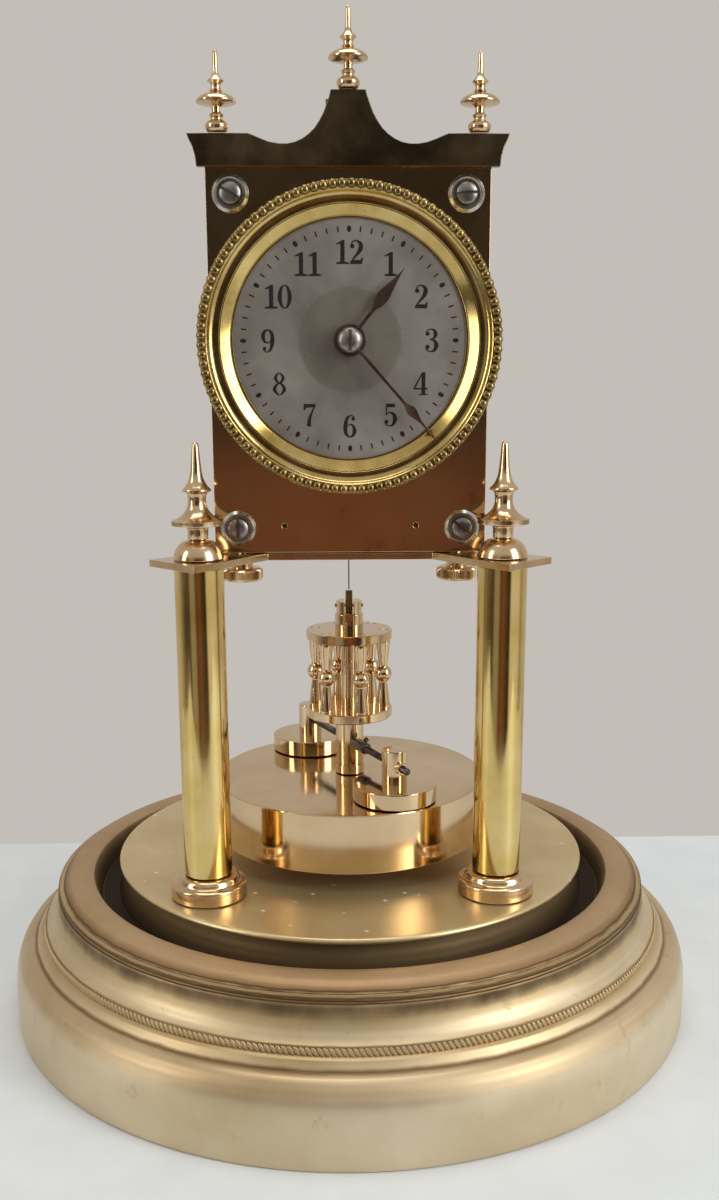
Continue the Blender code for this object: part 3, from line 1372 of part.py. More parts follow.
baluster_h = top_under_z - SEAT_GAP - baluster_low_z
ring_r = GALLERY_R * BALUSTER_RING_SHARE
tenon_top = baluster_h + GALLERY_T + 2 * SEAT_GAP
baluster_profile = (
    [(0.0, tenon_top), (TENON_R, tenon_top), (TENON_R, baluster_h)]
    + shared(BALUSTER_SHARES, BALUSTER_R, baluster_h)
    + [(BALUSTER_R * BALUSTER_SHARES[-1][0], -SEAT_GAP), (0.0, -SEAT_GAP)]
)
baluster_places = circle(ring_r, BALUSTERS, turn=BALUSTER_TURN - 90.0)
balusters = [
    turned(f"baluster_{i}", baluster_profile, STEPS_BALUSTER, (x, y, baluster_low_z))
    for i, (x, y) in enumerate(baluster_places)
]
joined(gallery, balusters)
along = (0.0, math.pi / 2, math.radians(WEIGHT_TURN))
post_bore = cylinder("post_bore", REG_HOLE_R, 4 * POST_R, (0.0, 0.0, REG_Z), along, STEPS_HOLE)
show(drilled(gallery, [post_bore]), "copper_gold")

gallery_top = flat(
    "gallery_top",
    [circle(GALLERY_R, STEPS_GALLERY)]
    + [circle(TENON_R + RUN_GAP, STEPS_HOLE, x, y) for x, y in baluster_places],
    GALLERY_T,
    (0.0, 0.0, GALLERY_TOP_Z - GALLERY_T / 2),
)
hub_high = GALLERY_T / 2 + HUB_LOW_H
hub = turned(
    "gallery_hub",
    [
        (0.0, hub_high + HUB_TOP_H),
        (HUB_TOP_R, hub_high + HUB_TOP_H),
        (HUB_TOP_R, hub_high),
        (HUB_LOW_R, hub_high),
        (HUB_LOW_R, 0.0),
        (0.0, 0.0),
    ],
    STEPS_COLUMN,
    (0.0, 0.0, GALLERY_TOP_Z - GALLERY_T / 2),
)
joined(gallery_top, [hub])
hub_top_z = GALLERY_TOP_Z + HUB_LOW_H + HUB_TOP_H
pin_z = hub_top_z - HOOK_PIN_DROP
hook_slot = box(
    "hook_slot",
    (HOOK_W + 2 * RUN_GAP, 3 * HUB_TOP_R, 2 * HUB_TOP_H - 2 * BOB_EASE),
    (0.0, 0.0, hub_top_z),
)
pin_hole_r = HOOK_PIN_R + RUN_GAP
pin_hole = cylinder("pin_hole", pin_hole_r, 4 * HUB_TOP_R, (0.0, 0.0, pin_z), SIDEWAYS, STEPS_HOLE)
show(drilled(gallery_top, [hook_slot, pin_hole]), "copper_gold")

hook_low_z = hub_top_z - HUB_TOP_H + BOB_EASE + SEAT_GAP
hook = box(
    "hook",
    (HOOK_W, HOOK_DEEP, HOOK_TOP_Z - hook_low_z),
    (0.0, 0.0, (HOOK_TOP_Z + hook_low_z) / 2),
)
hook_pin = cylinder(
    "hook_pin",
    HOOK_PIN_R,
    2 * (HUB_TOP_R + HOOK_PIN_OVER),
    (0.0, 0.0, pin_z),
    SIDEWAYS,
    STEPS_HOLE,
)
show(joined(hook, [hook_pin]), "copper_gold")

# Sliding weights on the regulating screw
for name, sign in (("front", 1), ("back", -1)):
    x = REG_DIRECTION[0] * WEIGHT_OUT * sign
    y = REG_DIRECTION[1] * WEIGHT_OUT * sign
    post_top = WEIGHT_TOP_Z - WEIGHT_Z
    weight = turned(
        f"weight_{name}",
        [
            (0.0, post_top),
            (WEIGHT_POST_R - BOB_EASE, post_top),
            (WEIGHT_POST_R, post_top - BOB_EASE),
            (WEIGHT_POST_R, WEIGHT_T),
            (WEIGHT_R, WEIGHT_T),
            (WEIGHT_R, 0.0),
            (0.0, 0.0),
        ],
        STEPS_WEIGHT,
        (x, y, WEIGHT_Z),
    )
    nut_out = (WEIGHT_OUT + WEIGHT_POST_R + WEIGHT_NUT_L / 2 - SEAT_GAP) * sign
    weight_nut = cylinder(
        f"weight_nut_{name}",
        WEIGHT_NUT_R,
        WEIGHT_NUT_L + 2 * SEAT_GAP,
        (REG_DIRECTION[0] * nut_out, REG_DIRECTION[1] * nut_out, REG_Z),
        along,
    )
    joined(weight, [weight_nut])
    bore = cylinder(f"weight_{name}_bore", REG_HOLE_R, 4 * WEIGHT_POST_R, (x, y, REG_Z), along, STEPS_HOLE)
    show(drilled(weight, [bore]), "copper_gold")

sleeve_low = POST_R + RUN_GAP
sleeve_high = sleeve_low + SLEEVE_L
regulating_screw = turned(
    "regulating_screw",
    [
        (0.0, REG_FRONT),
        (REG_R / 3, REG_FRONT),
        (REG_R, REG_FRONT - REG_TIP),
        (REG_R, sleeve_high + REG_R),
        (SLEEVE_R, sleeve_high),
        (SLEEVE_R, sleeve_low),
        (REG_R, sleeve_low),
        (REG_R, -REG_BACK),
        (0.0, -REG_BACK),
    ],
    STEPS_SMALL,
    (0.0, 0.0, REG_Z),
    along,
)
dog_out = sleeve_low + SLEEVE_L * DOG_ALONG_SHARE
dog = cylinder(
    "screw_dog",
    DOG_R,
    DOG_UP,
    (REG_DIRECTION[0] * dog_out, REG_DIRECTION[1] * dog_out, REG_Z + DOG_UP / 2),
    count=STEPS_HOLE,
)
show(joined(regulating_screw, [dog]), "steel")

bpy.context.view_layer.update()
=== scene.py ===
import math

import bpy
from mathutils import Matrix, Vector


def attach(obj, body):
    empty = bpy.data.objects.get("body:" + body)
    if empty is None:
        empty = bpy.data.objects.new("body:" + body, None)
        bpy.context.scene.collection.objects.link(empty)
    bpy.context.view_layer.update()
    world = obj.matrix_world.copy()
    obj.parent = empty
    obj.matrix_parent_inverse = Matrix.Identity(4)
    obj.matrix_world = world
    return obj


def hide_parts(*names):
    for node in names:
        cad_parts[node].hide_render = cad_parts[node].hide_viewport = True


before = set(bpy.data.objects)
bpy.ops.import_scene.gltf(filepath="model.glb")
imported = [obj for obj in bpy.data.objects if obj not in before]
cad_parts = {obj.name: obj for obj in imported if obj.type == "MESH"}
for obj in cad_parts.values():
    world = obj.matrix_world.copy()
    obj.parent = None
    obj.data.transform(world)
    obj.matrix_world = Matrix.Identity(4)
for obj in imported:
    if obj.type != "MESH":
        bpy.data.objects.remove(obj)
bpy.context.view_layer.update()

bpy.ops.object.select_all(action="DESELECT")

MM = 0.001
TURN = 2 * math.pi
FRONT = (math.pi / 2, 0, 0)

# Places and sizes of the clock, in mm, as the solids have them
FACE_Y = -33.0
DIAL_Z = 211.7
DIAL_AT = (0, FACE_Y, DIAL_Z)
DIAL_BACK_Y = FACE_Y - 4.0
INK_Y = FACE_Y - 4.63
HOUR_HAND_Y = FACE_Y - 6.65
MINUTE_HAND_Y = FACE_Y - 8.25
HAND_NUT_Y = FACE_Y - 9.2
INK_THICK = 0.05
COLUMN_X, COLUMN_Y = 43.4, -43.5
SCREW_X, SCREW_LOW_Z, SCREW_HIGH_Z = 32.6, 158.9, 251.1
THUMB_Y, THUMB_Z = -19.85, 141.6
SPIRE_X, SPIRE_Y, SPIRE_Z, CENTRE_SPIRE_Z = 35.8, -34.0, 266.73, 277.8
PLATFORM_Z, DISC_Z, GALLERY_Z, BALUSTER_Z, LID_Z = 46.7, 55.0, 74.1, 96.6, 119.3
BALUSTERS, BALUSTER_RADIUS = 6, 11.2
FIRST_BALUSTER = math.radians(18 - 90)
WEIGHT_TURN = math.radians(-64.8)
WEIGHT_OUT, COLLAR_OUT, DOG_OUT = 31.5, 35.0, 7.92
SPINDLE_Z = 84.8
SPINDLE_FROM, SPINDLE_TO, THREAD_PITCH = -38.4, 40.0, 0.7


# Shaping by hand: each tool works in mm and leaves the piece in object mode
def start(name):
    """A small new plane, the seed that each piece grows from."""
    bpy.ops.object.select_all(action="DESELECT")
    bpy.ops.mesh.primitive_plane_add(size=MM)
    piece = bpy.context.object
    piece.name = piece.data.name = name
    return piece


def arc(x, z, radius, first, last, count=6):
    """Points round part of a circle, for a profile."""
    angles = [math.radians(first + (last - first) * i / count) for i in range(count + 1)]
    return [(x + radius * math.cos(a), z + radius * math.sin(a)) for a in angles]


def clean(piece, gap=0.0005):
    """Seams and poles closed, faces turned out."""
    bpy.ops.object.mode_set(mode="EDIT")
    bpy.ops.mesh.select_all(action="SELECT")
    bpy.ops.mesh.remove_doubles(threshold=gap * MM)
    bpy.ops.mesh.normals_make_consistent(inside=False)
    bpy.ops.object.mode_set(mode="OBJECT")
    return piece


def turned(name, profile, steps=64, ring=False):
    """A profile of (radius, height), extruded point by point and spun round Z."""
    piece = start(name)
    bpy.ops.object.mode_set(mode="EDIT")
    bpy.ops.mesh.merge(type="CENTER")
    bpy.ops.transform.translate(value=(profile[0][0] * MM, 0, profile[0][1] * MM))
    if ring:
        profile = profile + profile[:1]
    for (r, z), (next_r, next_z) in zip(profile, profile[1:]):
        bpy.ops.mesh.extrude_region_move(
            TRANSFORM_OT_translate={"value": ((next_r - r) * MM, 0, (next_z - z) * MM)}
        )
    bpy.ops.mesh.select_all(action="SELECT")
    bpy.ops.mesh.spin(steps=steps, angle=TURN, center=(0, 0, 0), axis=(0, 0, 1))
    bpy.ops.object.mode_set(mode="OBJECT")
    return clean(piece)


def ball(name, segments, rings, radius, stretch):
    """A small bead, stretched along its axes."""
    piece = start(name)
    bpy.ops.object.mode_set(mode="EDIT")
    bpy.ops.mesh.delete(type="VERT")
    bpy.ops.mesh.primitive_uv_sphere_add(segments=segments, ring_count=rings, radius=radius * MM)
    bpy.ops.transform.resize(value=stretch)
    bpy.ops.object.mode_set(mode="OBJECT")
    return piece


def pick(piece, rule):
    """In edit mode, with the vertices selected whose place in mm answers the rule."""
    bpy.context.view_layer.objects.active = piece
    bpy.ops.object.mode_set(mode="EDIT")
    bpy.ops.mesh.select_mode(type="VERT")
    bpy.ops.mesh.select_all(action="DESELECT")
    bpy.ops.object.mode_set(mode="OBJECT")
    flags = [bool(rule(*(v.co / MM))) for v in piece.data.vertices]
    piece.data.vertices.foreach_set("select", flags)
    bpy.ops.object.mode_set(mode="EDIT")


def knurl(piece, low, high, inner, steps, depth=0.965):
    """Every other line of the rim drawn in, between two heights."""
    pick(
        piece,
        lambda x, y, z: low < z < high
        and math.hypot(x, y) > inner
        and round(math.atan2(y, x) / TURN * steps) % 2 == 0,
    )
    bpy.ops.transform.resize(value=(depth, depth, 1), center_override=(0, 0, 0))
    bpy.ops.object.mode_set(mode="OBJECT")
    return piece


def placed(piece, at=(0, 0, 0), facing=(0, 0, 0)):
    """Turned and moved to its place, which goes into its mesh."""
    bpy.ops.object.select_all(action="DESELECT")
    piece.select_set(True)
    bpy.context.view_layer.objects.active = piece
    piece.rotation_euler = facing
    piece.location = [v * MM for v in at]
    bpy.ops.object.transform_apply(location=True, rotation=True, scale=True)
    return piece


def ring_of(piece, count, axis=(0, 0, 1), centre=(0, 0, 0), sweep=TURN, first=0.0):
    """Copies round a centre, in one mesh."""
    bpy.context.view_layer.objects.active = piece
    bpy.ops.object.mode_set(mode="EDIT")
    bpy.ops.mesh.select_all(action="SELECT")
    bpy.ops.mesh.spin(
        steps=count - 1,
        dupli=True,
        angle=sweep * (count - 1) / count,
        center=[v * MM for v in centre],
        axis=axis,
    )
    bpy.ops.object.mode_set(mode="OBJECT")
    return piece


def again(piece, name):
    """Another of the same, with its own mesh."""
    bpy.ops.object.select_all(action="DESELECT")
    piece.select_set(True)
    bpy.context.view_layer.objects.active = piece
    bpy.ops.object.duplicate()
    twin = bpy.context.object
    twin.name = twin.data.name = name
    return twin


def together(name, pieces):
    """Several pieces joined into the first, under one name."""
    bpy.ops.object.select_all(action="DESELECT")
    for piece in pieces:
        piece.select_set(True)
    bpy.context.view_layer.objects.active = pieces[0]
    bpy.ops.object.join()
    pieces[0].name = pieces[0].data.name = name
    return pieces[0]


def use(piece, kind, **settings):
    """A modifier, set and applied."""
    bpy.context.view_layer.objects.active = piece
    step = piece.modifiers.new(kind.title(), kind)
    for key, value in settings.items():
        setattr(step, key, value)
    bpy.ops.object.modifier_apply(modifier=step.name)
    return piece


def cut(piece, tool, operation="DIFFERENCE"):
    """The tool cut out of the piece, or united with it, and then thrown away."""
    use(piece, "BOOLEAN", operation=operation, solver="EXACT", object=tool)
    bpy.data.objects.remove(tool, do_unlink=True)
    return clean(piece)


def block(name, size, at, facing=(0, 0, 0), ease=0.0):
    """A bar of metal with its edges eased, for slots and small parts."""
    bpy.ops.object.select_all(action="DESELECT")
    bpy.ops.mesh.primitive_cube_add(size=MM)
    piece = bpy.context.object
    piece.name = piece.data.name = name
    piece.scale = size
    placed(piece)
    if ease:
        use(piece, "BEVEL", width=ease * MM, segments=2, limit_method="ANGLE")
    return placed(piece, at, facing)


def eased(name, node, width=0.25, segments=2, sharp=25):
    """A closer copy of a solid: one merged skin with its edges eased."""
    piece = start(name)
    piece.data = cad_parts[node].data.copy()
    piece.data.name = name
    clean(piece)
    bpy.ops.object.mode_set(mode="EDIT")
    bpy.ops.mesh.select_all(action="SELECT")
    bpy.ops.mesh.dissolve_limited(angle_limit=math.radians(1.0))
    bpy.ops.object.mode_set(mode="OBJECT")
    if width:
        use(
            piece,
            "BEVEL",
            width=width * MM,
            segments=segments,
            limit_method="ANGLE",
            angle_limit=math.radians(sharp),
            use_clamp_overlap=True,
        )
    return piece


def outline(name, loops, thickness, ease=0.0):
    """A flat shape cut from sheet, its edges eased; the loops are in mm in X and Y."""
    curve = bpy.data.curves.new(name, "CURVE")
    curve.dimensions = "2D"
    curve.fill_mode = "BOTH"
    curve.extrude = (thickness / 2 - ease) * MM
    curve.bevel_depth = ease * MM
    curve.bevel_resolution = 1
    curve.offset = -ease * MM
    for loop in loops:
        spline = curve.splines.new("POLY")
        spline.points.add(len(loop) - 1)
        for point, (x, y) in zip(spline.points, loop):
            point.co = (x * MM, y * MM, 0, 1)
        spline.use_cyclic_u = True
    piece = bpy.data.objects.new(name, curve)
    bpy.context.scene.collection.objects.link(piece)
    bpy.ops.object.select_all(action="DESELECT")
    piece.select_set(True)
    bpy.context.view_layer.objects.active = piece
    bpy.ops.object.convert(target="MESH")
    return clean(bpy.context.object)


def between(p, q, r, s, t):
    """A value on the rounded line from q to r, which leans on its neighbours p and s."""
    lean = 2 * q + (r - p) * t + (2 * p - 5 * q + 4 * r - s) * t * t
    return 0.5 * (lean + (3 * q - p - 3 * r + s) * t**3)


def smooth_line(points, steps=8, closed=False):
    """A rounded line through points of any number of values."""
    count = len(points)
    spans = count if closed else count - 1
    line = []
    for i in range(spans):
        if closed:
            a, b, c, d = (points[(i + k) % count] for k in (-1, 0, 1, 2))
        else:
            a, b = points[max(i - 1, 0)], points[i]
            c, d = points[i + 1], points[min(i + 2, count - 1)]
        for k in range(steps):
            line.append(tuple(between(*four, k / steps) for four in zip(a, b, c, d)))
    return line if closed else line + [points[-1]]


def circle(radius, count, x=0.0, y=0.0):
    """Points all round a circle, for a loop in sheet."""
    angles = [TURN * i / count for i in range(count)]
    return [(x + radius * math.cos(a), y + radius * math.sin(a)) for a in angles]


def wear(piece, body, finish, *nodes, angle=35):
    """The piece smoothed, finished, riding on its body and standing for its solids."""
    bpy.ops.object.select_all(action="DESELECT")
    piece.select_set(True)
    bpy.context.view_layer.objects.active = piece
    bpy.ops.object.shade_smooth_by_angle(angle=math.radians(angle))
    use(piece, "WEIGHTED_NORMAL", keep_sharp=True)
    piece.data.materials.clear()
    piece.data.materials.append(FINISHES[finish][0])
    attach(piece, body)
    if nodes:
        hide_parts(*nodes)
    return piece


# Finishes
# How close the marks on a surface lie, as noise scales in metres
METAL_GRAIN, SCRATCHES, SHADE_AND_TONE_PATCHES, INK_GRAIN, PAINT_GRAIN = 2500.0, 900.0, 120.0, 900.0, 60.0


def linear(code):
    """An sRGB hex colour as linear numbers."""
    parts = [int(code[i : i + 2], 16) / 255 for i in (1, 3, 5)]
    return [c / 12.92 if c <= 0.04045 else ((c + 0.055) / 1.055) ** 2.4 for c in parts] + [1.0]


def add(tree, kind, settings=None, **sockets):
    """One node, with its settings or ramp stops, its socket values and what is linked into it."""
    node = tree.nodes.new("ShaderNode" + kind)
    for key, value in (settings or {}).items():
        if key == "stops":
            marks = node.color_ramp.elements
            first, *middle, last = sorted(value)
            marks[0].position, marks[0].color = first[0], linear(first[1])
            marks[1].position, marks[1].color = last[0], linear(last[1])
            for place, code in middle:
                marks.new(place).color = linear(code)
        else:
            setattr(node, key, value)
    for key, value in sockets.items():
        socket = node.inputs[int(key[1:])] if key[1:].isdigit() else node.inputs[key.replace("_", " ")]
        if isinstance(value, bpy.types.NodeSocket):
            tree.links.new(value, socket)
        else:
            socket.default_value = value
    return node


def blank(name):
    """A new material, with its node tree and its shader."""
    material = bpy.data.materials.new(name)
    material.use_nodes = True
    tree = material.node_tree
    return material, tree, tree.nodes["Principled BSDF"]


def metal(
    name,
    tones,
    rough,
    cloud=22.0,
    stain=None,
    stain_mm=6.0,
    stain_from=0.62,
    brush=None,
    rings=0.0,
    centre=(0, 0, 0),
    specks=None,
    bump=0.02,
    shade_and_tone_by_radius=(),
    across=(1.0, 1.0, 0.0),
    film=0.0,
):
    """A metal surface: tones drift over clouds of a given size in mm, stains sit on top, fine lines
    of polishing or turning break up the gloss, and a ramp over given radii in mm darkens the colour: painted
    shade in grooves and creases, as well as the metal's own tones and soiling. Film is the share
    of dull lacquer and dust."""
    material, tree, shader = blank(name)
    place = add(tree, "TexCoord").outputs["Object"]
    middle = [v * MM for v in centre]
    spot = add(tree, "Mapping", {"vector_type": "TEXTURE"}, Vector=place, Location=middle).outputs[0]
    clouds = add(tree, "TexNoise", None, Vector=spot, Scale=1000 / cloud, Detail=6.0, Roughness=0.6).outputs[0]
    tone = {"stops": [(0.3, tones[0]), (0.5, tones[1]), (0.7, tones[2])]}
    colour = add(tree, "ValToRGB", tone, Fac=clouds).outputs[0]
    gloss = add(tree, "MapRange", None, Value=clouds, i1=0.3, i2=0.7, i3=rough[0], i4=rough[1]).outputs[0]
    if stain:
        marks = add(tree, "TexNoise", None, Vector=spot, Scale=1000 / stain_mm, Detail=8.0, Roughness=0.7).outputs[0]
        spread = stain_from + 0.12
        amount = add(tree, "MapRange", None, Value=marks, i1=stain_from, i2=spread, i3=0.0, i4=0.8).outputs[0]
        colour = add(tree, "MixRGB", None, Fac=amount, Color1=colour, Color2=linear(stain)).outputs[0]
        gloss = add(tree, "Math", {"operation": "MULTIPLY_ADD"}, i0=amount, i1=0.22, i2=gloss).outputs[0]
    if specks:
        dots = add(tree, "TexVoronoi", None, Vector=spot, Scale=1000 / specks[1]).outputs["Distance"]
        dot = add(tree, "MapRange", None, Value=dots, i1=0.10, i2=0.04, i3=0.0, i4=0.9).outputs[0]
        colour = add(tree, "MixRGB", None, Fac=dot, Color1=colour, Color2=linear(specks[0])).outputs[0]
        gloss = add(tree, "Math", {"operation": "MULTIPLY_ADD"}, i0=dot, i1=0.3, i2=gloss).outputs[0]
    # Painted shade by radius: grooves and creases darkened in the colour, together with the metal's own tones and
    # soiling
    if shade_and_tone_by_radius:
        flat = add(tree, "VectorMath", {"operation": "MULTIPLY"}, Vector=spot, i1=across).outputs[0]
        radius = add(tree, "VectorMath", {"operation": "LENGTH"}, Vector=flat).outputs["Value"]
        patchy = add(tree, "TexNoise", None, Vector=spot, Scale=SHADE_AND_TONE_PATCHES, Detail=4.0).outputs[0]
        wander = add(tree, "Math", {"operation": "MULTIPLY_ADD"}, i0=patchy, i1=0.6 * MM, i2=radius).outputs[0]
        first, last = shade_and_tone_by_radius[0][0], shade_and_tone_by_radius[-1][0]
        along = add(tree, "MapRange", None, Value=wander, i1=first * MM, i2=last * MM).outputs[0]
        stops = [((r - first) / (last - first), code) for r, code in shade_and_tone_by_radius]
        shade_and_tone_colour = add(tree, "ValToRGB", {"stops": stops}, Fac=along).outputs[0]
        colour = add(tree, "MixRGB", {"blend_type": "MULTIPLY"}, Fac=1.0, Color1=colour, Color2=shade_and_tone_colour).outputs[0]
        dull = add(tree, "MapRange", None, Value=shade_and_tone_colour, i1=0.0, i2=1.0, i3=0.25, i4=0.0).outputs[0]
        gloss = add(tree, "Math", {"operation": "ADD"}, i0=gloss, i1=dull).outputs[0]
    height = add(tree, "TexNoise", None, Vector=spot, Scale=METAL_GRAIN, Detail=3.0).outputs[0]
    if brush:
        lines = add(tree, "Mapping", None, Vector=spot, Scale=brush).outputs[0]
        height = add(tree, "TexNoise", None, Vector=lines, Scale=SCRATCHES, Detail=4.0).outputs[0]
        scratch = add(tree, "MapRange", None, Value=height, i1=0.35, i2=0.75, i3=-0.02, i4=0.04).outputs[0]
        gloss = add(tree, "Math", {"operation": "ADD"}, i0=gloss, i1=scratch).outputs[0]
    if rings:
        wave = add(
            tree,
            "TexWave",
            {"wave_type": "RINGS", "rings_direction": "Z"},
            Vector=spot,
            Scale=rings,
            Distortion=1.5,
            Detail=3.0,
            Detail_Scale=2.0,
        ).outputs["Fac"]
        height = add(tree, "Math", {"operation": "MULTIPLY_ADD"}, i0=wave, i1=0.6, i2=height).outputs[0]
        turnings = add(tree, "MapRange", None, Value=wave, i3=-0.02, i4=0.05).outputs[0]
        gloss = add(tree, "Math", {"operation": "ADD"}, i0=gloss, i1=turnings).outputs[0]
    lift = add(tree, "Bump", None, Height=height, Strength=bump, Distance=0.1 * MM).outputs[0]
    tree.links.new(colour, shader.inputs["Base Color"])
    tree.links.new(gloss, shader.inputs["Roughness"])
    tree.links.new(lift, shader.inputs["Normal"])
    shader.inputs["Metallic"].default_value = 1.0 - film
    return material


FINISHES = {
    # Spun brass, satin with age: broad soft highlights, fine turning lines, pinkish bare patches, and painted shade
    # darkening the dome's groove and the creases of the rim and round the rope bead.
    "spun_brass": (
        metal(
            "spun brass, satin with age",
            ["#C4B494", "#D4C6AA", "#DFD4BC"],
            (0.32, 0.44),
            film=0.22,
            cloud=60.0,
            stain="#BDA98C",
            stain_mm=9.0,
            stain_from=0.61,
            rings=260.0,
            bump=0.05,
            # Painted shade and own tones by radius in mm: dark under the platform's edge and in the dome's groove (71
            # to 83 mm), painted shade with some soiling; the narrow dark stops at 94.7, 96.5, 101.0 and 104.3 mm are
            # painted shade in the creases of the rim and round the rope bead; the pinkish stops are the rim's own
            # colour
            shade_and_tone_by_radius=[
                (71.0, "#9A8A70"), (76.0, "#5A4B38"), (78.0, "#3A3022"), (82.0, "#3C3224"), (83.8, "#8F7A5E"),
                (85.2, "#DAC5B0"), (92.5, "#D6C0AA"), (94.3, "#A88E74"), (94.7, "#5E4B36"), (95.2, "#F0E2CC"),
                (96.2, "#C8B294"), (96.5, "#5E4C38"), (97.2, "#E0D2B8"), (98.5, "#F2EDE2"), (100.7, "#F4ECDC"),
                (101.0, "#A08A6C"), (101.5, "#E6D8C0"), (102.6, "#E2D4BC"), (103.8, "#F4EBDC"), (104.3, "#9A8366"),
                (105.4, "#E4D8C8"), (109.5, "#E8DCCC"), (110.7, "#FFFBF4"),
            ],
        ),
        "aged_brass",
    ),
    # Polished brass plate with years of fine wiping marks and white flecks of dried polish.
    "platform_brass": (
        metal(
            "polished sheet brass",
            ["#C4AC7C", "#D1BB8D", "#DCC9A0"],
            (0.30, 0.40),
            film=0.22,
            cloud=40.0,
            specks=("#F2EDE0", 9.0),
            bump=0.02,
        ),
        "polished_brass",
    ),
    # Drawn brass tube, rubbed bright: pale yellow with lengthwise lines and brown freckles.
    "tube_brass": (
        metal(
            "drawn brass tube, bright",
            ["#CDAF66", "#DCC07A", "#E6CE92"],
            (0.07, 0.14),
            cloud=16.0,
            stain="#7A5A26",
            stain_mm=3.0,
            stain_from=0.66,
            brush=(1.0, 1.0, 0.03),
            bump=0.03,
        ),
        "column_brass",
    ),
    # Turned brass, lacquered rose gold: the brightest pieces.
    "rose_gold": (
        metal("turned brass, rose lacquer", ["#CBAD84", "#D9BD96", "#E3CAA6"], (0.13, 0.24), cloud=8.0, bump=0.03),
        "polished_brass",
    ),
    # Plate brass with old lacquer: a mirror clouded with bronze and copper.
    "plate_brass": (
        metal(
            "plate brass, old lacquer",
            ["#C4A67E", "#D2B58C", "#DDC39C"],
            (0.06, 0.14),
            cloud=24.0,
            stain="#957552",
            stain_mm=9.0,
            stain_from=0.60,
            bump=0.015,
        ),
        "plate_brass",
    ),
    # Tarnished brass: brown, dull, freckled.
    "tarnished": (
        metal(
            "tarnished brass",
            ["#5C503C", "#6B5D46", "#7A6B52"],
            (0.22, 0.36),
            cloud=14.0,
            stain="#A79C88",
            stain_mm=3.0,
            stain_from=0.66,
            bump=0.05,
        ),
        "tarnished_brass",
    ),
    # Brass handled for years: brown and half dull.
    "old_brass": (
        metal("handled brass", ["#8C7452", "#A0875F", "#B39A70"], (0.20, 0.32), cloud=3.0, bump=0.04),
        "copper_gold",
    ),
    # Pressed bezel brass: greenish yellow, bright.
    "bezel_brass": (
        metal(
            "pressed brass, bright",
            ["#B59A5A", "#C8AE6E", "#D6BF84"],
            (0.13, 0.22),
            cloud=10.0,
            stain="#6B4F24",
            stain_mm=4.0,
            stain_from=0.62,
            bump=0.02,
        ),
        "column_brass",
    ),
    # The same brass on the row of beads, dulled where a cloth never reaches.
    "bead_brass": (
        metal("pressed brass, dulled", ["#74633E", "#8C784C", "#A5905E"], (0.24, 0.36), cloud=5.0, bump=0.03),
        "column_brass",
    ),
    # Copper-rich brass turned to a mirror.
    "copper_gold": (
        metal(
            "mirror-turned red brass",
            ["#CFB189", "#DBBF97", "#E4CCA8"],
            (0.08, 0.15),
            cloud=30.0,
            bump=0.012,
        ),
        "copper_gold",
    ),
    # Silvered brass dial: matt pale grey.
    "silvered": (
        metal(
            "silvered brass, matt",
            ["#97938C", "#A39F98", "#ADA9A2"],
            (0.46, 0.56),
            cloud=18.0,
            stain="#87827A",
            stain_mm=7.0,
            stain_from=0.60,
            bump=0.03,
            centre=(0, 0, DIAL_Z),
            # The same ramp gives the dial its own darker centre zone, inside about 15 mm
            shade_and_tone_by_radius=[(0.0, "#D2CEC9"), (14.2, "#DAD7D2"), (15.2, "#FFFFFF"), (36.0, "#FFFFFF")],
            across=(1.0, 0.0, 1.0),
        ),
        "silvered",
    ),
    # Hardened steel, polished dark.
    "dark_steel": (
        metal("hardened steel, dark", ["#4B4844", "#5C5853", "#6A6660"], (0.18, 0.32), cloud=4.0, bump=0.03),
        "steel",
    ),
    # Steel screw heads, gone grey.
    "grey_steel": (
        metal("turned steel, greyed", ["#7C7872", "#908C86", "#A19D97"], (0.30, 0.42), cloud=3.0, bump=0.04),
        "steel",
    ),
    # Steel hands, heated to a brown skin.
    "browned_steel": (
        metal("browned steel", ["#5C4C42", "#6E5C50", "#7C6A5E"], (0.30, 0.42), cloud=5.0, bump=0.03),
        "steel",
    ),
    # Bright nickel-plated steel.
    "bright_steel": (
        metal("nickel-plated steel", ["#B4B0A8", "#C4C0B8", "#D0CCC4"], (0.20, 0.32), cloud=3.0, bump=0.02),
        "bright_steel",
    ),
    # Cut wheel brass, as it left the file: satin.
    "wheel_brass": (
        metal("cut sheet brass, satin", ["#B99550", "#C9A763", "#D3B471"], (0.20, 0.32), cloud=6.0, bump=0.03),
        "train_brass",
    ),
}
ink, ink_tree, ink_shader = blank("black dial enamel")
tint = add(ink_tree, "TexNoise", None, Vector=add(ink_tree, "TexCoord").outputs["Object"], Scale=INK_GRAIN).outputs[0]
soot = add(ink_tree, "ValToRGB", {"stops": [(0.3, "#0D0D0C"), (0.7, "#1D1D1A")]}, Fac=tint).outputs[0]
ink_tree.links.new(soot, ink_shader.inputs["Base Color"])
ink_shader.inputs["Roughness"].default_value = 0.45
FINISHES["ink"] = (ink, "silvered")


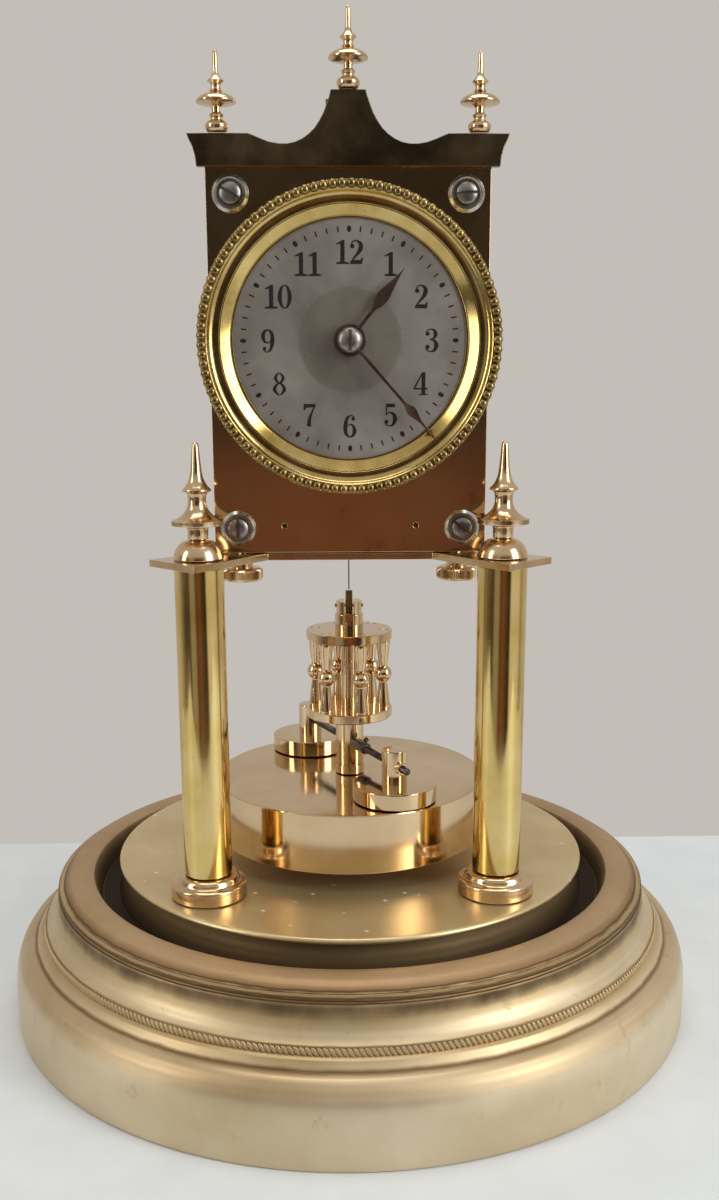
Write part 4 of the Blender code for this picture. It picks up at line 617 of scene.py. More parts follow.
# Base: a spun shell with a turned rim, a bead rolled like rope, and the dome's groove
base = (
    [(3.0, 46.4), (71.8, 46.4), (72.2, 46.2), (77.0, 38.2), (82.4, 38.2), (84.1, 42.6)]
    + [(84.3, 43.6), (84.9, 44.6), (86.2, 45.2), (88.4, 45.3), (91.0, 44.9), (93.0, 44.1), (94.2, 43.1), (94.7, 42.5)]
    + [(94.6, 42.2), (94.9, 42.1)]
    + arc(95.6, 41.5, 0.75, 110, -50, 6)
    + [(95.9, 40.7), (95.7, 40.5), (95.9, 40.3), (96.4, 40.15), (96.6, 39.8)]
    + [(96.4, 39.0), (96.45, 37.8), (96.7, 36.4), (97.2, 35.0)]
    + [(97.9, 33.5), (98.8, 32.2), (99.8, 31.1), (100.8, 30.4)]
    + [(100.9, 30.1), (101.0, 29.0), (101.0, 28.0), (102.2, 27.5)]
    + [(102.6, 27.2), (103.9, 25.3), (104.0, 24.8), (104.5, 24.6)]
    + [(105.3, 24.6), (106.7, 24.1), (108.0, 22.9), (109.3, 20.8), (110.2, 18.2), (110.7, 15.4), (110.9, 12.0)]
    + [(110.9, 1.0), (110.75, 0.4), (110.3, 0.0), (109.3, 0.0)]
    + [(109.3, 11.2), (106.5, 21.8), (98.7, 29.2), (94.9, 36.0)]
    + [(92.6, 42.0), (86.1, 42.0), (84.0, 36.6), (75.4, 36.6), (70.6, 44.8), (3.0, 44.8)]
)
wear(turned("base", base, 160, ring=True), "stand", "spun_brass", "base_shell", angle=28)

bead = ball("rope_bead", 8, 6, 1.0, (0.5, 0.70, 1.6))
placed(bead, (0, 0, 0), (math.radians(38), 0, 0))
placed(bead, (101.05, 0, 28.95))
ring_of(bead, 400)
wear(bead, "stand", "spun_brass")

platform = [(0.0, 2.6), (74.9, 2.6)] + arc(75.5, 1.6, 1.0, 90, -90, 8) + [(75.0, 0.3), (72.0, 0.0), (0.0, 0.0)]
platform = placed(turned("platform", platform, 160), (0, 0, PLATFORM_Z))
wear(platform, "stand", "platform_brass", "platform_disc", angle=28)

# Columns, feet, caps and finial nuts
foot = (
    [(2.3, 9.8), (6.1, 9.8), (6.1, 6.8), (8.1, 6.8), (8.5, 6.7)]
    + [(8.9, 6.45), (9.2, 6.0), (9.4, 5.4), (9.55, 5.0), (9.9, 4.75)]
    + [(10.6, 4.55), (11.1, 4.3), (11.35, 4.0), (11.4, 3.7), (11.35, 3.45), (11.2, 3.35), (11.2, 3.2), (11.3, 3.1)]
    + [(11.3, 0.3), (11.2, 0.08), (11.0, 0.0), (2.3, 0.0)]
)
column = [(6.4, 0.0), (6.95, 0.0), (7.15, 0.2), (7.15, 92.1), (6.95, 92.3), (6.4, 92.3)]
dome = [
    (2.3, 5.2), (3.4, 5.2), (4.3, 4.85), (5.1, 4.3), (5.8, 3.6), (6.4, 2.7), (6.8, 1.8), (7.05, 1.0),
    (7.2, 0.15), (7.1, 0.0), (2.3, 0.0),
]
nut = (
    [(0.0, 27.1), (0.45, 27.0), (0.8, 26.7), (0.98, 26.1), (1.1, 24.4)]
    + [(1.35, 21.5), (1.6, 19.0), (1.95, 17.2), (2.5, 15.9)]
    + [(3.2, 14.8), (4.0, 14.05), (4.08, 13.8), (4.0, 13.5), (3.6, 13.3), (2.9, 12.9), (2.65, 12.3), (2.55, 11.4)]
    + [(2.55, 10.3), (2.75, 9.2), (3.2, 8.2), (3.9, 7.3), (4.9, 6.4), (6.0, 5.75), (6.9, 5.4), (7.25, 5.3)]
    + [(7.3, 5.1), (7.3, 4.1), (7.15, 3.95), (6.6, 3.85), (3.5, 3.4)]
    + [(3.15, 3.2), (3.05, 2.8), (2.95, 2.7), (2.9, 0.2), (2.8, 0.0)]
    + [(2.3, 0.0), (2.3, 5.4), (0.0, 5.4)]
)
foot = turned("foot", foot, 72, ring=True)
column = turned("column", column, 72, ring=True)
cap = turned("cap", dome, 72, ring=True)
nut = knurl(turned("column_nut", nut, 144), 4.05, 5.2, 7.27, 144, 0.975)
column_stack = (
    ("foot", foot, 49.6, "rose_gold", "foot"),
    ("column", column, 56.7, "tube_brass", "column"),
    ("cap", cap, 151.6, "rose_gold", "cap_dome"),
    ("column_nut", nut, 157.1, "rose_gold", "column_finial"),
)
for name, piece, z, finish, node in column_stack:
    for side, twin, x in (("left", again(piece, f"left_{name}"), -COLUMN_X), ("right", piece, COLUMN_X)):
        twin.name = twin.data.name = f"{side}_{name}"
        wear(placed(twin, (x, COLUMN_Y, z)), "stand", finish, f"{node}_{side}")

# Movement platform, plates and crown
for name, node, width, finish in (
    ("movement_bar", "movement_platform", 0.3, "rose_gold"),
    ("front_plate_skin", "front_plate", 0.2, "plate_brass"),
    ("back_plate_skin", "back_plate", 0.2, "plate_brass"),
    ("crown_skin", "crown", 0.25, "tarnished"),
):
    wear(eased(name, node, width), "stand", finish, node)

crown_nut = (
    [(0.0, 20.7), (0.3, 20.6), (0.55, 20.35), (0.65, 19.9), (0.68, 17.5)]
    + [(0.8, 15.4), (1.0, 14.5), (1.4, 13.7), (2.1, 13.15)]
    + [(2.25, 12.95), (2.15, 12.75), (1.7, 12.45), (1.4, 12.0)]
    + [(1.32, 11.4), (1.4, 10.9), (1.75, 10.55), (1.55, 10.3)]
    + [(1.8, 10.05), (2.6, 9.75), (3.6, 9.4), (4.5, 8.9), (5.1, 8.35)]
    + [(5.4, 7.9), (5.45, 7.65), (5.35, 7.4), (5.0, 7.25)]
    + [(3.2, 7.05), (1.8, 6.8), (1.35, 6.4), (1.25, 5.8), (1.22, 5.0)]
    + [(1.4, 4.75), (1.85, 4.55), (1.98, 4.3), (1.85, 4.0)]
    + [(1.65, 3.7), (1.6, 3.3), (1.75, 3.0), (2.3, 2.8), (2.85, 2.4), (3.15, 1.8)]
    + [(3.2, 1.2), (3.0, 0.6), (2.65, 0.1), (2.5, 0.0), (0.0, 0.0)]
)
spire = turned("centre_spire", crown_nut, 48)
for side, x in (("left", -SPIRE_X), ("right", SPIRE_X)):
    twin = placed(again(spire, f"{side}_spire"), (x, SPIRE_Y, SPIRE_Z))
    wear(twin, "stand", "rose_gold", f"crown_finial_{side}")
wear(placed(spire, (0, SPIRE_Y, CENTRE_SPIRE_Z)), "stand", "rose_gold", "crown_finial_centre")

thumb = (
    [(0.0, 15.9), (1.3, 15.9), (1.3, 7.4), (3.2, 7.4), (3.2, 4.0), (5.2, 3.9)]
    + [(5.8, 3.6), (6.1, 3.0), (6.1, 0.9), (5.8, 0.3), (5.2, 0.0), (0.0, 0.0)]
)
thumbscrew = knurl(turned("right_thumbscrew", thumb, 120), 0.5, 3.4, 5.9, 120, 0.955)
twin = placed(again(thumbscrew, "left_thumbscrew"), (-SCREW_X, THUMB_Y, THUMB_Z))
wear(twin, "stand", "rose_gold", "thumbscrew_left")
wear(placed(thumbscrew, (SCREW_X, THUMB_Y, THUMB_Z)), "stand", "rose_gold", "thumbscrew_right")

# Plate screws and their washers
washer = (
    [(1.6, 0.3), (3.75, 0.3), (3.8, 1.3), (3.9, 1.4), (4.25, 1.35), (5.05, 0.6), (5.1, 0.45), (5.1, 0.0), (1.6, 0.0)]
)
head = [
    (0.0, 2.5), (1.6, 2.42), (2.4, 2.2), (2.85, 1.9), (3.0, 1.5), (3.0, 0.9), (1.3, 0.9), (1.3, -6.0),
    (0.0, -6.0),
]
washer = turned("washer", washer, 48, ring=True)
screw = turned("screw", head, 48)
cut(screw, block("slot", (12.0, 0.85, 1.8), (0, 0, 2.5)))
CORNERS = (
    ("upper_left", -SCREW_X, SCREW_HIGH_Z, 30.0),
    ("upper_right", SCREW_X, SCREW_HIGH_Z, -5.0),
    ("lower_left", -SCREW_X, SCREW_LOW_Z, 90.0),
    ("lower_right", SCREW_X, SCREW_LOW_Z, 38.0),
)
for corner, x, z, slot_turn in CORNERS:
    at = (x, FACE_Y, z)
    wear(placed(again(washer, f"{corner}_washer"), at, FRONT), "stand", "bright_steel", f"front_washer_{corner}")
    twin = placed(again(screw, f"{corner}_screw"), (0, 0, 0), (0, 0, math.radians(-slot_turn)))
    wear(placed(twin, at, FRONT), "stand", "grey_steel", f"front_screw_{corner}")
bpy.data.objects.remove(washer)
bpy.data.objects.remove(screw)

# Bezel: a dished ring behind a row of beads
bezel = (
    [(41.3, 0.0), (41.3, 6.2), (41.9, 6.7), (42.25, 7.3), (42.3, 7.9), (42.0, 8.3), (41.2, 8.5), (40.2, 8.5)]
    + [(39.75, 8.6), (39.4, 8.35), (39.1, 7.9), (38.6, 7.45), (37.9, 7.15)]
    + [(37.1, 7.05), (36.4, 7.1), (36.2, 6.9), (36.0, 6.9)]
    + [(33.7, 5.15), (33.3, 5.0), (33.0, 5.1), (32.7, 5.05), (32.6, 4.9), (40.0, 4.9), (40.0, 0.0)]
)
bezel = placed(turned("bezel_ring", bezel, 144, ring=True), DIAL_AT, FRONT)
wear(bezel, "stand", "bezel_brass", "bezel", angle=28)
pearl = ball("bezel_beads", 12, 8, 1.18, (1.2, 1.07, 0.9))
placed(pearl, (41.05, 0, 8.5))
ring_of(pearl, 101)
wear(placed(pearl, DIAL_AT, FRONT), "stand", "bead_brass", angle=60)

dial = [(2.8, 0.6), (35.7, 0.6), (35.9, 0.4), (35.9, 0.0), (2.8, 0.0)]
dial = placed(turned("dial_plate", dial, 128, ring=True), (0, DIAL_BACK_Y, DIAL_Z), FRONT)
wear(dial, "stand", "silvered", "dial")

# Numbers and minute marks, printed on the dial
# Each digit is 1 high: a fill is an outline, a line or a loop has a place and a breadth at each point
HALF_DIGIT = 0.32
DIGITS = {
    "0": [
        ("loop", [
            (0.32, 0.98, 0.05), (0.47, 0.85, 0.12), (0.54, 0.50, 0.18), (0.47, 0.15, 0.12),
            (0.32, 0.02, 0.05), (0.17, 0.15, 0.12), (0.10, 0.50, 0.18), (0.17, 0.85, 0.12),
        ]),
    ],
    "1": [
        ("fill", [(0.23, 0.0), (0.41, 0.0), (0.41, 1.0), (0.31, 1.0), (0.06, 0.86), (0.06, 0.81), (0.23, 0.85)]),
        ("fill", [(0.04, 0.0), (0.60, 0.0), (0.60, 0.06), (0.44, 0.10), (0.20, 0.10), (0.04, 0.06)]),
    ],
    "2": [
        ("line", [
            (0.10, 0.74, 0.05), (0.16, 0.92, 0.05), (0.32, 0.97, 0.06), (0.49, 0.88, 0.14),
            (0.53, 0.72, 0.19), (0.44, 0.50, 0.15), (0.25, 0.28, 0.08), (0.10, 0.08, 0.07),
        ]),
        ("fill", circle(0.095, 20, 0.155, 0.745)),
        ("fill", [(0.05, 0.0), (0.58, 0.0), (0.63, 0.27), (0.57, 0.27), (0.51, 0.16), (0.30, 0.18), (0.08, 0.11)]),
    ],
    "3": [
        ("line", [
            (0.08, 0.78, 0.04), (0.14, 0.93, 0.05), (0.31, 0.98, 0.05), (0.46, 0.91, 0.12),
            (0.50, 0.76, 0.17), (0.43, 0.60, 0.10), (0.26, 0.53, 0.05),
        ]),
        ("line", [
            (0.26, 0.54, 0.05), (0.44, 0.49, 0.10), (0.54, 0.29, 0.19), (0.45, 0.08, 0.12),
            (0.29, 0.02, 0.05), (0.12, 0.08, 0.05), (0.07, 0.22, 0.04),
        ]),
        ("fill", circle(0.09, 20, 0.145, 0.785)),
        ("fill", circle(0.095, 20, 0.145, 0.215)),
    ],
    "4": [
        ("fill", [(0.40, 1.0), (0.46, 1.0), (0.11, 0.31), (0.11, 0.25), (0.02, 0.25), (0.02, 0.31)]),
        ("fill", [(0.38, 0.0), (0.55, 0.0), (0.55, 1.0), (0.40, 1.0), (0.38, 0.95)]),
        ("fill", [(0.05, 0.24), (0.65, 0.24), (0.65, 0.31), (0.05, 0.31)]),
        ("fill", [(0.25, 0.0), (0.66, 0.0), (0.66, 0.05), (0.25, 0.05)]),
    ],
    "5": [
        ("fill", [(0.12, 1.0), (0.54, 1.0), (0.52, 0.84), (0.17, 0.84), (0.15, 0.50), (0.10, 0.47)]),
        ("line", [
            (0.11, 0.50, 0.05), (0.28, 0.61, 0.06), (0.45, 0.54, 0.13), (0.53, 0.33, 0.19),
            (0.44, 0.09, 0.12), (0.28, 0.02, 0.05), (0.12, 0.08, 0.05), (0.07, 0.20, 0.04),
        ]),
        ("fill", circle(0.09, 20, 0.14, 0.20)),
    ],
    "6": [
        ("line", [
            (0.52, 0.84, 0.04), (0.45, 0.95, 0.05), (0.34, 0.98, 0.05), (0.19, 0.86, 0.12),
            (0.11, 0.52, 0.18), (0.14, 0.18, 0.14), (0.30, 0.02, 0.05),
        ]),
        ("line", [
            (0.30, 0.02, 0.05), (0.46, 0.12, 0.13), (0.52, 0.32, 0.17), (0.45, 0.53, 0.10),
            (0.31, 0.59, 0.05), (0.15, 0.48, 0.05),
        ]),
        ("fill", circle(0.08, 20, 0.465, 0.835)),
    ],
    "7": [
        ("fill", [(0.06, 0.72), (0.11, 0.72), (0.17, 0.83), (0.58, 0.86), (0.60, 1.0), (0.10, 1.0), (0.06, 1.0)]),
        ("line", [(0.57, 0.94, 0.06), (0.44, 0.66, 0.08), (0.32, 0.34, 0.14), (0.29, 0.01, 0.19)]),
    ],
    "8": [
        ("loop", [(0.32, 0.98, 0.05), (0.49, 0.77, 0.13), (0.32, 0.54, 0.08), (0.15, 0.77, 0.13)]),
        ("loop", [(0.32, 0.55, 0.07), (0.54, 0.28, 0.15), (0.32, 0.02, 0.05), (0.10, 0.28, 0.15)]),
    ],
}
# A nine is a six turned round
DIGITS["9"] = [(kind, [(0.64 - p[0], 1.0 - p[1], *p[2:]) for p in points]) for kind, points in DIGITS["6"]]


def strokes(name, kind, points, size):
    """One stroke of a number, cut from ink a hair thick."""
    if kind == "fill":
        loops = [[(x * size, y * size) for x, y in points]]
    else:
        line = smooth_line(points, 8, kind == "loop")
        sides = ([], [])
        count = len(line)
        for i, (x, y, w) in enumerate(line):
            a = line[(i - 1) % count] if kind == "loop" else line[max(i - 1, 0)]
            b = line[(i + 1) % count] if kind == "loop" else line[min(i + 1, count - 1)]
            length = math.dist(a[:2], b[:2])
            nx, ny = (a[1] - b[1]) / length, (b[0] - a[0]) / length
            for side, sign in zip(sides, (1, -1)):
                side.append(((x + sign * nx * w / 2) * size, (y + sign * ny * w / 2) * size))
        loops = list(sides) if kind == "loop" else [sides[0] + sides[1][::-1]]
    return outline(name, loops, INK_THICK)


def number(text, size=6.3, step=3.75):
    """The strokes of a number, united digit by digit and centred."""
    digits = []
    for i, digit in enumerate(text):
        drawn = [strokes(f"stroke_{k}", kind, points, size) for k, (kind, points) in enumerate(DIGITS[digit])]
        for other in drawn[1:]:
            cut(drawn[0], other, "UNION")
        left = (i - (len(text) - 1) / 2) * step - HALF_DIGIT * size
        digits.append(placed(drawn[0], (left, -size / 2, 0)))
    return together(f"number_{text}", digits)


hours = []
for hour in range(1, 13):
    angle = math.radians(90 - 30 * hour)
    mark = number(str(hour))
    placed(mark, (22.9 * math.cos(angle), 23.6 * math.sin(angle), 0))
    hours.append(mark)
numbers = together("dial_numbers", hours)
wear(placed(numbers, (0, INK_Y, DIAL_Z), FRONT), "stand", "ink")

MARK_RADIUS = 29.7
ticks = block("minute_marks", (0.38, 1.5, INK_THICK), (0, MARK_RADIUS, 0))
ring_of(ticks, 60)
oval = [(0.6 * x, 0.86 * y) for x, y in circle(1.0, 16)]
dots = placed(outline("five_minute_marks", [oval], 0.07), (0, MARK_RADIUS, 0))
ring_of(dots, 12)
marks = together("dial_marks", [ticks, dots])
wear(placed(marks, (0, INK_Y, DIAL_Z), FRONT), "stand", "ink")

# Hands
def pointer(name, hub, side, bore, ease):
    """A hand cut from sheet: a round hub, one side of the blade and its mirror image."""
    blade = side[1:] + [(-x, y) for x, y in side[::-1]][:-1]
    return outline(name, [hub + blade, circle(bore, 32)], 0.5, ease)


hour_side = [
    (0.55, 3.4), (0.5, 9.0), (0.65, 10.8), (1.35, 12.6), (1.75, 14.6), (1.45, 16.8), (0.8, 19.8), (0.35, 22.4),
    (0.05, 24.5),
]
hour_hand = pointer("hour_pointer", arc(0, 0, 4.5, 97, 443, 40), smooth_line(hour_side, 5), 2.8, 0.12)
placed(hour_hand, (0, HOUR_HAND_Y, DIAL_Z), (math.pi / 2, math.radians(38.3), 0))
wear(hour_hand, "hour_hand_body", "browned_steel", "hour_hand")
minute_side = [
    (0.5, 2.6), (0.42, 22.2), (0.6, 23.4), (1.35, 25.6), (1.35, 26.4), (0.7, 28.6), (0.4, 30.4), (0.25, 33.0),
    (0.05, 34.8),
]
minute_hand = pointer("minute_pointer", arc(0, 0, 3.0, 100, 440, 36), smooth_line(minute_side, 5), 1.9, 0.1)
placed(minute_hand, (0, MINUTE_HAND_Y, DIAL_Z), (math.pi / 2, math.radians(138.3), 0))
wear(minute_hand, "minute_hand_body", "browned_steel", "minute_hand")
boss = [
    (0.0, 1.9), (1.2, 1.85), (2.2, 1.6), (2.9, 1.2), (3.35, 0.7), (3.5, 0.35), (3.5, 0.1), (3.4, 0.0),
    (1.0, 0.0), (1.0, 0.95), (0.0, 0.95),
]
boss = turned("hand_boss", boss, 48)
cut(boss, block("slot", (0.85, 9.0, 1.3), (0, 0, 1.9)))
wear(placed(boss, (0, HAND_NUT_Y, DIAL_Z), FRONT), "minute_hand_body", "grey_steel", "hand_nut")

# Pendulum disc
disc = [(0.0, 18.8), (43.2, 18.8), (43.65, 18.65), (43.9, 18.3), (43.9, 0.5), (43.75, 0.15), (43.4, 0.0), (0.0, 0.0)]
wear(placed(turned("heavy_disc", disc, 160), (0, 0, DISC_Z)), "pendulum", "copper_gold", "pendulum_disc")

# Gallery: post and lower disc, six balusters, top disc with its hub
lower = (
    [(0.0, 45.0), (2.6, 45.0), (2.6, 22.5), (13.7, 22.5), (14.0, 22.2), (14.0, 19.8), (13.7, 19.5), (4.6, 19.5)]
    + [(4.6, 3.5), (4.35, 3.35), (4.35, 3.2), (4.8, 3.05), (4.8, 0.15), (4.65, 0.0), (0.0, 0.0)]
)
lower = placed(turned("gallery_floor", lower, 72), (0, 0, GALLERY_Z))
rod = (
    [(0.0, 23.0), (0.9, 23.0), (0.9, 22.3), (2.25, 22.3), (2.3, 22.0), (2.2, 21.0), (1.75, 17.0), (1.35, 14.2)]
    + [(1.55, 13.6)]
    + arc(0.0, 11.3, 2.85, 62, -62, 10)
    + [(1.55, 9.0), (1.35, 8.4), (1.75, 5.4), (2.2, 1.6), (2.3, 0.6), (2.25, 0.0), (0.0, 0.0)]
)
baluster_x = BALUSTER_RADIUS * math.cos(FIRST_BALUSTER)
baluster_y = BALUSTER_RADIUS * math.sin(FIRST_BALUSTER)
rods = placed(turned("baluster", rod, 28), (baluster_x, baluster_y, BALUSTER_Z))
gallery = together("gallery_post", [lower, ring_of(rods, BALUSTERS)])
wear(gallery, "pendulum", "copper_gold", "gallery_lower")
top = (
    [(0.0, 12.4), (3.85, 12.4), (4.1, 12.15), (4.1, 8.3), (4.5, 8.2), (4.6, 8.0), (4.6, 3.1)]
    + [(13.7, 3.0), (14.0, 2.7), (14.0, 0.3), (13.7, 0.0), (0.0, 0.0)]
)
lid = turned("gallery_lid", top, 72)
peg = turned("peg_hole", [(0.0, 3.4), (1.6, 3.4), (1.6, 2.7), (0.0, 2.7)], 20)
cut(lid, ring_of(placed(peg, (baluster_x, baluster_y, 0)), BALUSTERS))
cut(lid, block("hook_slot", (2.9, 12.0, 7.4), (0, 0, 12.4)))
for side in (-1, 1):
    cut(lid, block("hub_flat", (2.6, 2.0, 2.7), (0, side * 5.2, 7.4)))
wear(placed(lid, (0, 0, LID_Z)), "pendulum", "copper_gold", "gallery_top")
peg = turned("baluster_pegs", [(0.0, 3.0), (1.3, 2.98), (1.4, 2.9), (1.4, 2.6), (0.0, 2.6)], 20)
placed(peg, (baluster_x, baluster_y, LID_Z))
wear(ring_of(peg, BALUSTERS), "pendulum", "copper_gold")
stem = block("hook_stem", (2.3, 1.8, 7.0), (0, 0, 131.5), ease=0.35)
pin = turned("hook_pin", [(0.0, 4.6), (0.45, 4.6), (0.6, 4.4), (0.6, -4.4), (0.45, -4.6), (0.0, -4.6)], 24)
placed(pin, (0, 0, 130.1), (0, math.pi / 2, 0))
wear(together("hook_block", [stem, pin]), "pendulum", "old_brass", "hook")

# Sliding weights and the screw that moves them
ux, uy = math.cos(WEIGHT_TURN), math.sin(WEIGHT_TURN)
along = (0, math.pi / 2, WEIGHT_TURN)
weight = (
    [(0.0, 15.9), (3.6, 15.9), (3.85, 15.75), (3.95, 15.5), (3.95, 5.3), (12.6, 5.2), (12.9, 5.05), (13.0, 4.8)]
    + [(13.0, 0.3), (12.8, 0.05), (12.5, 0.0), (0.0, 0.0)]
)
collar_nut = [(1.3, 1.9), (1.6, 1.9), (1.9, 1.6), (1.9, 0.0), (1.3, 0.0)]
plain_weight = turned("weight", weight, 72)
bore = turned("bore", [(0.0, 9.0), (1.4, 9.0), (1.4, -9.0), (0.0, -9.0)], 24)
cut(plain_weight, placed(bore, (0, 0, SPINDLE_Z - GALLERY_Z), along))
for name, sign in (("front", 1), ("back", -1)):
    at = (ux * WEIGHT_OUT * sign, uy * WEIGHT_OUT * sign, GALLERY_Z)
    body = placed(again(plain_weight, f"{name}_weight"), at)
    facing = along if sign > 0 else (0, -math.pi / 2, WEIGHT_TURN)
    collar = turned("nut", collar_nut, 6 if sign < 0 else 32, ring=True)
    out = COLLAR_OUT * sign
    collar = placed(collar, (ux * out, uy * out, SPINDLE_Z), facing)
    wear(together(f"{name}_weight", [body, collar]), f"weight_{name}_body", "copper_gold", f"weight_{name}")
bpy.data.objects.remove(plain_weight)

thread = [(0.0, SPINDLE_FROM)]
position = SPINDLE_FROM
while position < SPINDLE_TO:
    thread += [(0.95, position), (1.1, position + THREAD_PITCH / 2)]
    position += THREAD_PITCH
thread += [(0.5, 40.6), (0.3, 40.8), (0.0, 40.8)]
spindle = turned("regulating_spindle", thread[::-1], 20)
sleeve = turned("sleeve", [(1.0, 12.7), (1.5, 12.4), (1.9, 11.9), (1.9, 4.7), (1.7, 4.5), (1.0, 4.5)], 40, ring=True)
together("regulating_spindle", [spindle, sleeve])
placed(spindle, (0, 0, SPINDLE_Z), along)
dog = turned("dog", [
    (0.0, 3.4), (0.6, 3.4), (0.8, 3.2), (0.8, 2.3), (0.6, 2.1), (0.5, 2.0), (0.5, 0.0), (0.0, 0.0),
], 20)
placed(dog, (0, 0, 0), (math.radians(-52), 0, 0))
placed(dog, (ux * DOG_OUT, uy * DOG_OUT, SPINDLE_Z), (0, 0, WEIGHT_TURN))
wear(together("regulating_spindle", [spindle, dog]), "regulating_screw_body", "dark_steel", "regulating_screw")

# Movement pillars, in the round
pillar = (
    [(0.0, 12.7), (1.6, 12.7), (1.6, 20.7), (3.3, 20.7), (3.5, 20.5), (3.5, 18.4), (3.3, 18.0), (2.8, 15.7)]
    + [(2.8, 5.0), (3.3, 2.7), (3.5, 2.3), (3.5, 0.2), (3.3, 0.0), (2.0, 0.0), (2.0, -2.7), (1.8, -2.8), (0.0, -2.8)]
)
post = turned("pillar", pillar, 40)
for corner, x, z, _ in CORNERS:
    wear(placed(again(post, f"{corner}_pillar"), (x, -9.5, z), FRONT), "stand", "wheel_brass", f"pillar_{corner}")
bpy.data.objects.remove(post)

# Wheelwork, with eased edges
for node, body, finish in (
    ("centre_wheel", "centre_wheel_body", "wheel_brass"),
    ("second_wheel", "second_wheel_body", "wheel_brass"),
    ("third_wheel", "third_wheel_body", "wheel_brass"),
    ("escape_wheel", "escape_wheel_body", "wheel_brass"),
    ("barrel", "barrel_body", "wheel_brass"),
    ("minute_wheel", "minute_wheel_body", "wheel_brass"),
    ("hour_wheel", "hour_hand_body", "wheel_brass"),
    ("cannon_pinion", "minute_hand_body", "dark_steel"),
    ("winding_arbor", "winding_body", "dark_steel"),
    ("click", "click_body", "dark_steel"),
    ("anchor", "anchor_body", "dark_steel"),
    ("fork", "fork_body", "wheel_brass"),
    ("suspension_bracket", "stand", "rose_gold"),
):
    wear(eased(f"{node}_eased", node, 0.08, 1, 40), body, finish, node)
wear(block("suspension_strip", (0.42, 0.12, 135.4), (0, 0, 203.05)), "stand", "bright_steel", "suspension_ribbon")
# Hidden pieces keep the shape of their solids, in dark steel
for node in ("mainspring", "tie_bolt_left", "tie_bolt_right"):
    solid = bpy.data.objects[node]
    solid.data.materials.clear()
    solid.data.materials.append(FINISHES["dark_steel"][0])

# Floor, world and lamps, in metres
FLOOR_WIDE, FLOOR_DEEP, FLOOR_Y = 0.9, 0.47, -0.105
CLOCK_MIDDLE = Vector((0, 0, 0.12))
bpy.ops.object.select_all(action="DESELECT")
bpy.ops.mesh.primitive_plane_add(size=1.0)
floor = bpy.context.object
floor.name = "floor"
floor.scale = (FLOOR_WIDE, FLOOR_DEEP, 1)
floor.location = (0, FLOOR_Y, 0)
bpy.ops.object.transform_apply(location=True, rotation=True, scale=True)
floor_white, tree, shader = blank("white painted top")
grain = add(tree, "TexNoise", None, Vector=add(tree, "TexCoord").outputs["Object"], Scale=PAINT_GRAIN).outputs[0]
paint = add(tree, "ValToRGB", {"stops": [(0.3, "#CFD4D8"), (0.7, "#D4D9DC")]}, Fac=grain).outputs[0]
tree.links.new(paint, shader.inputs["Base Color"])
shader.inputs["Roughness"].default_value = 0.6
floor.data.materials.append(floor_white)

world = bpy.data.worlds.new("studio")
bpy.context.scene.world = world
world.use_nodes = True
tree = world.node_tree
sky = tree.nodes["Background"]
way = add(tree, "SeparateXYZ", None, Vector=add(tree, "TexCoord").outputs["Generated"])
ahead = add(tree, "Math", {"operation": "MULTIPLY"}, i0=way.outputs[1], i1=-1.0).outputs[0]
swing = add(tree, "Math", {"operation": "ARCTAN2"}, i0=way.outputs[0], i1=ahead).outputs[0]
turn = add(tree, "MapRange", None, Value=swing, i1=-math.pi, i2=math.pi).outputs[0]
SURROUND = (
    (-180, "#BDB7AF"), (-125, "#A8A198"), (-100, "#7C736A"), (-84, "#54483F"), (-46, "#54483F"), (-38, "#9A9288"),
    (-19, "#9A9288"), (-12, "#3A342E"), (30, "#3A342E"), (38, "#D6D2CC"), (80, "#D6D2CC"), (92, "#6A6058"),
    (112, "#6A6058"), (135, "#A8A198"), (180, "#BDB7AF"),
)
stops = [((degrees + 180) / 360, code) for degrees, code in SURROUND]
room = add(tree, "ValToRGB", {"stops": stops}, Fac=turn).outputs[0]
back = add(tree, "MapRange", None, Value=way.outputs[1], i1=-0.35, i2=0.35).outputs[0]
aside = add(tree, "Math", {"operation": "ABSOLUTE"}, i0=way.outputs[0]).outputs[0]
middle = add(tree, "MapRange", None, Value=aside, i1=0.40, i2=0.02).outputs[0]
low = add(tree, "MapRange", None, Value=way.outputs[2], i1=-0.02, i2=-0.08, i3=0.0, i4=middle).outputs[0]
high = add(tree, "MapRange", None, Value=way.outputs[2], i1=0.27, i2=0.40).outputs[0]
under = add(tree, "MixRGB", None, Fac=back, Color1=linear("#7A5440"), Color2=linear("#BDB7AF")).outputs[0]
room = add(tree, "MixRGB", None, Fac=low, Color1=room, Color2=under).outputs[0]
room = add(tree, "MixRGB", None, Fac=high, Color1=room, Color2=linear("#C4C0B9")).outputs[0]
ray = add(tree, "LightPath").outputs
gloss = add(tree, "Math", {"operation": "ADD"}, i0=ray["Is Glossy Ray"], i1=ray["Is Transmission Ray"]).outputs[0]
gloss = add(tree, "Math", {"operation": "MULTIPLY"}, i0=gloss, i1=back).outputs[0]
seen = add(tree, "Math", {"operation": "ADD", "use_clamp": True}, i0=gloss, i1=ray["Is Camera Ray"]).outputs[0]
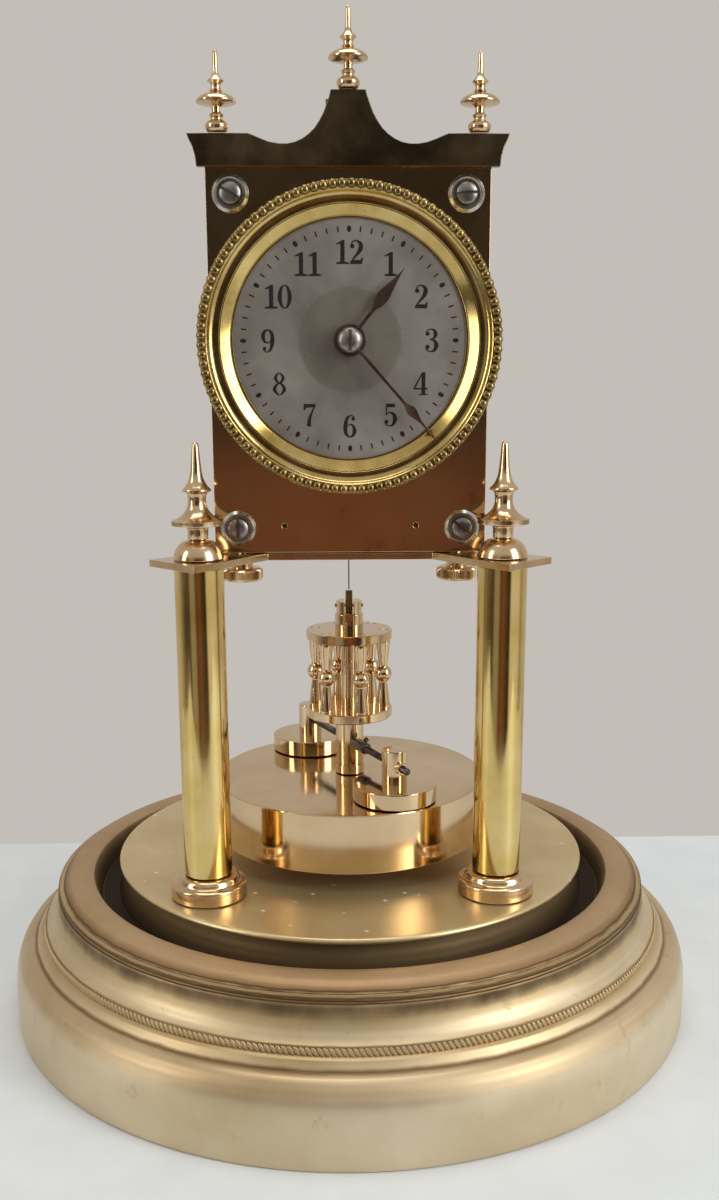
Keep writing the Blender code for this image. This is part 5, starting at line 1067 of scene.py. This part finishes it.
room = add(tree, "MixRGB", None, Fac=seen, Color1=room, Color2=linear("#C3BEB7")).outputs[0]
tree.links.new(room, sky.inputs["Color"])
sky.inputs["Strength"].default_value = 1.0


def lamp(name, at, size, power, tone):
    """A soft lamp, turned to the middle of the clock."""
    light = bpy.data.lights.new(name, "AREA")
    light.shape = "RECTANGLE"
    light.size, light.size_y = size
    light.energy = power
    light.color = linear(tone)[:3]
    holder = bpy.data.objects.new(name, light)
    holder.location = at
    holder.rotation_euler = (CLOCK_MIDDLE - Vector(at)).to_track_quat("-Z", "Y").to_euler()
    bpy.context.scene.collection.objects.link(holder)


lamp("window", (0.85, -0.6, 0.55), (0.45, 0.8), 7.0, "#FFFFFF")
lamp("fill", (-0.9, -0.45, 0.45), (0.25, 0.8), 3.0, "#FFFAF2")
lamp("top", (0.0, 0.0, 1.2), (0.8, 0.6), 4.5, "#FFFFFF")

# Camera, fitted to the photograph's corners and circles
SENSOR_MM, PHOTO_PIXELS, FOCAL_PIXELS, CENTRE_DOWN_PIXELS = 36.0, 1200, 1237.46, 62.46
camera = bpy.data.cameras.new("camera")
camera.sensor_fit = "AUTO"
camera.sensor_width = SENSOR_MM
camera.lens = FOCAL_PIXELS / PHOTO_PIXELS * SENSOR_MM
camera.shift_y = CENTRE_DOWN_PIXELS / PHOTO_PIXELS
camera.clip_start = 0.01
eye = bpy.data.objects.new("camera", camera)
pitch, yaw, roll = math.radians(12.69), math.radians(1.38), math.radians(-0.19)
forward = Vector((math.sin(yaw) * math.cos(pitch), math.cos(yaw) * math.cos(pitch), -math.sin(pitch)))
right = forward.cross(Vector((0, 0, 1))).normalized()
up = right.cross(forward)
right, up = right * math.cos(roll) + up * math.sin(roll), up * math.cos(roll) - right * math.sin(roll)
eye.matrix_world = Matrix((right, up, -forward)).transposed().to_4x4()
eye.location = (-6.16 * MM, -394.70 * MM, 199.90 * MM)
bpy.context.scene.collection.objects.link(eye)
bpy.context.scene.camera = eye
bpy.context.scene.view_settings.view_transform = "Standard"
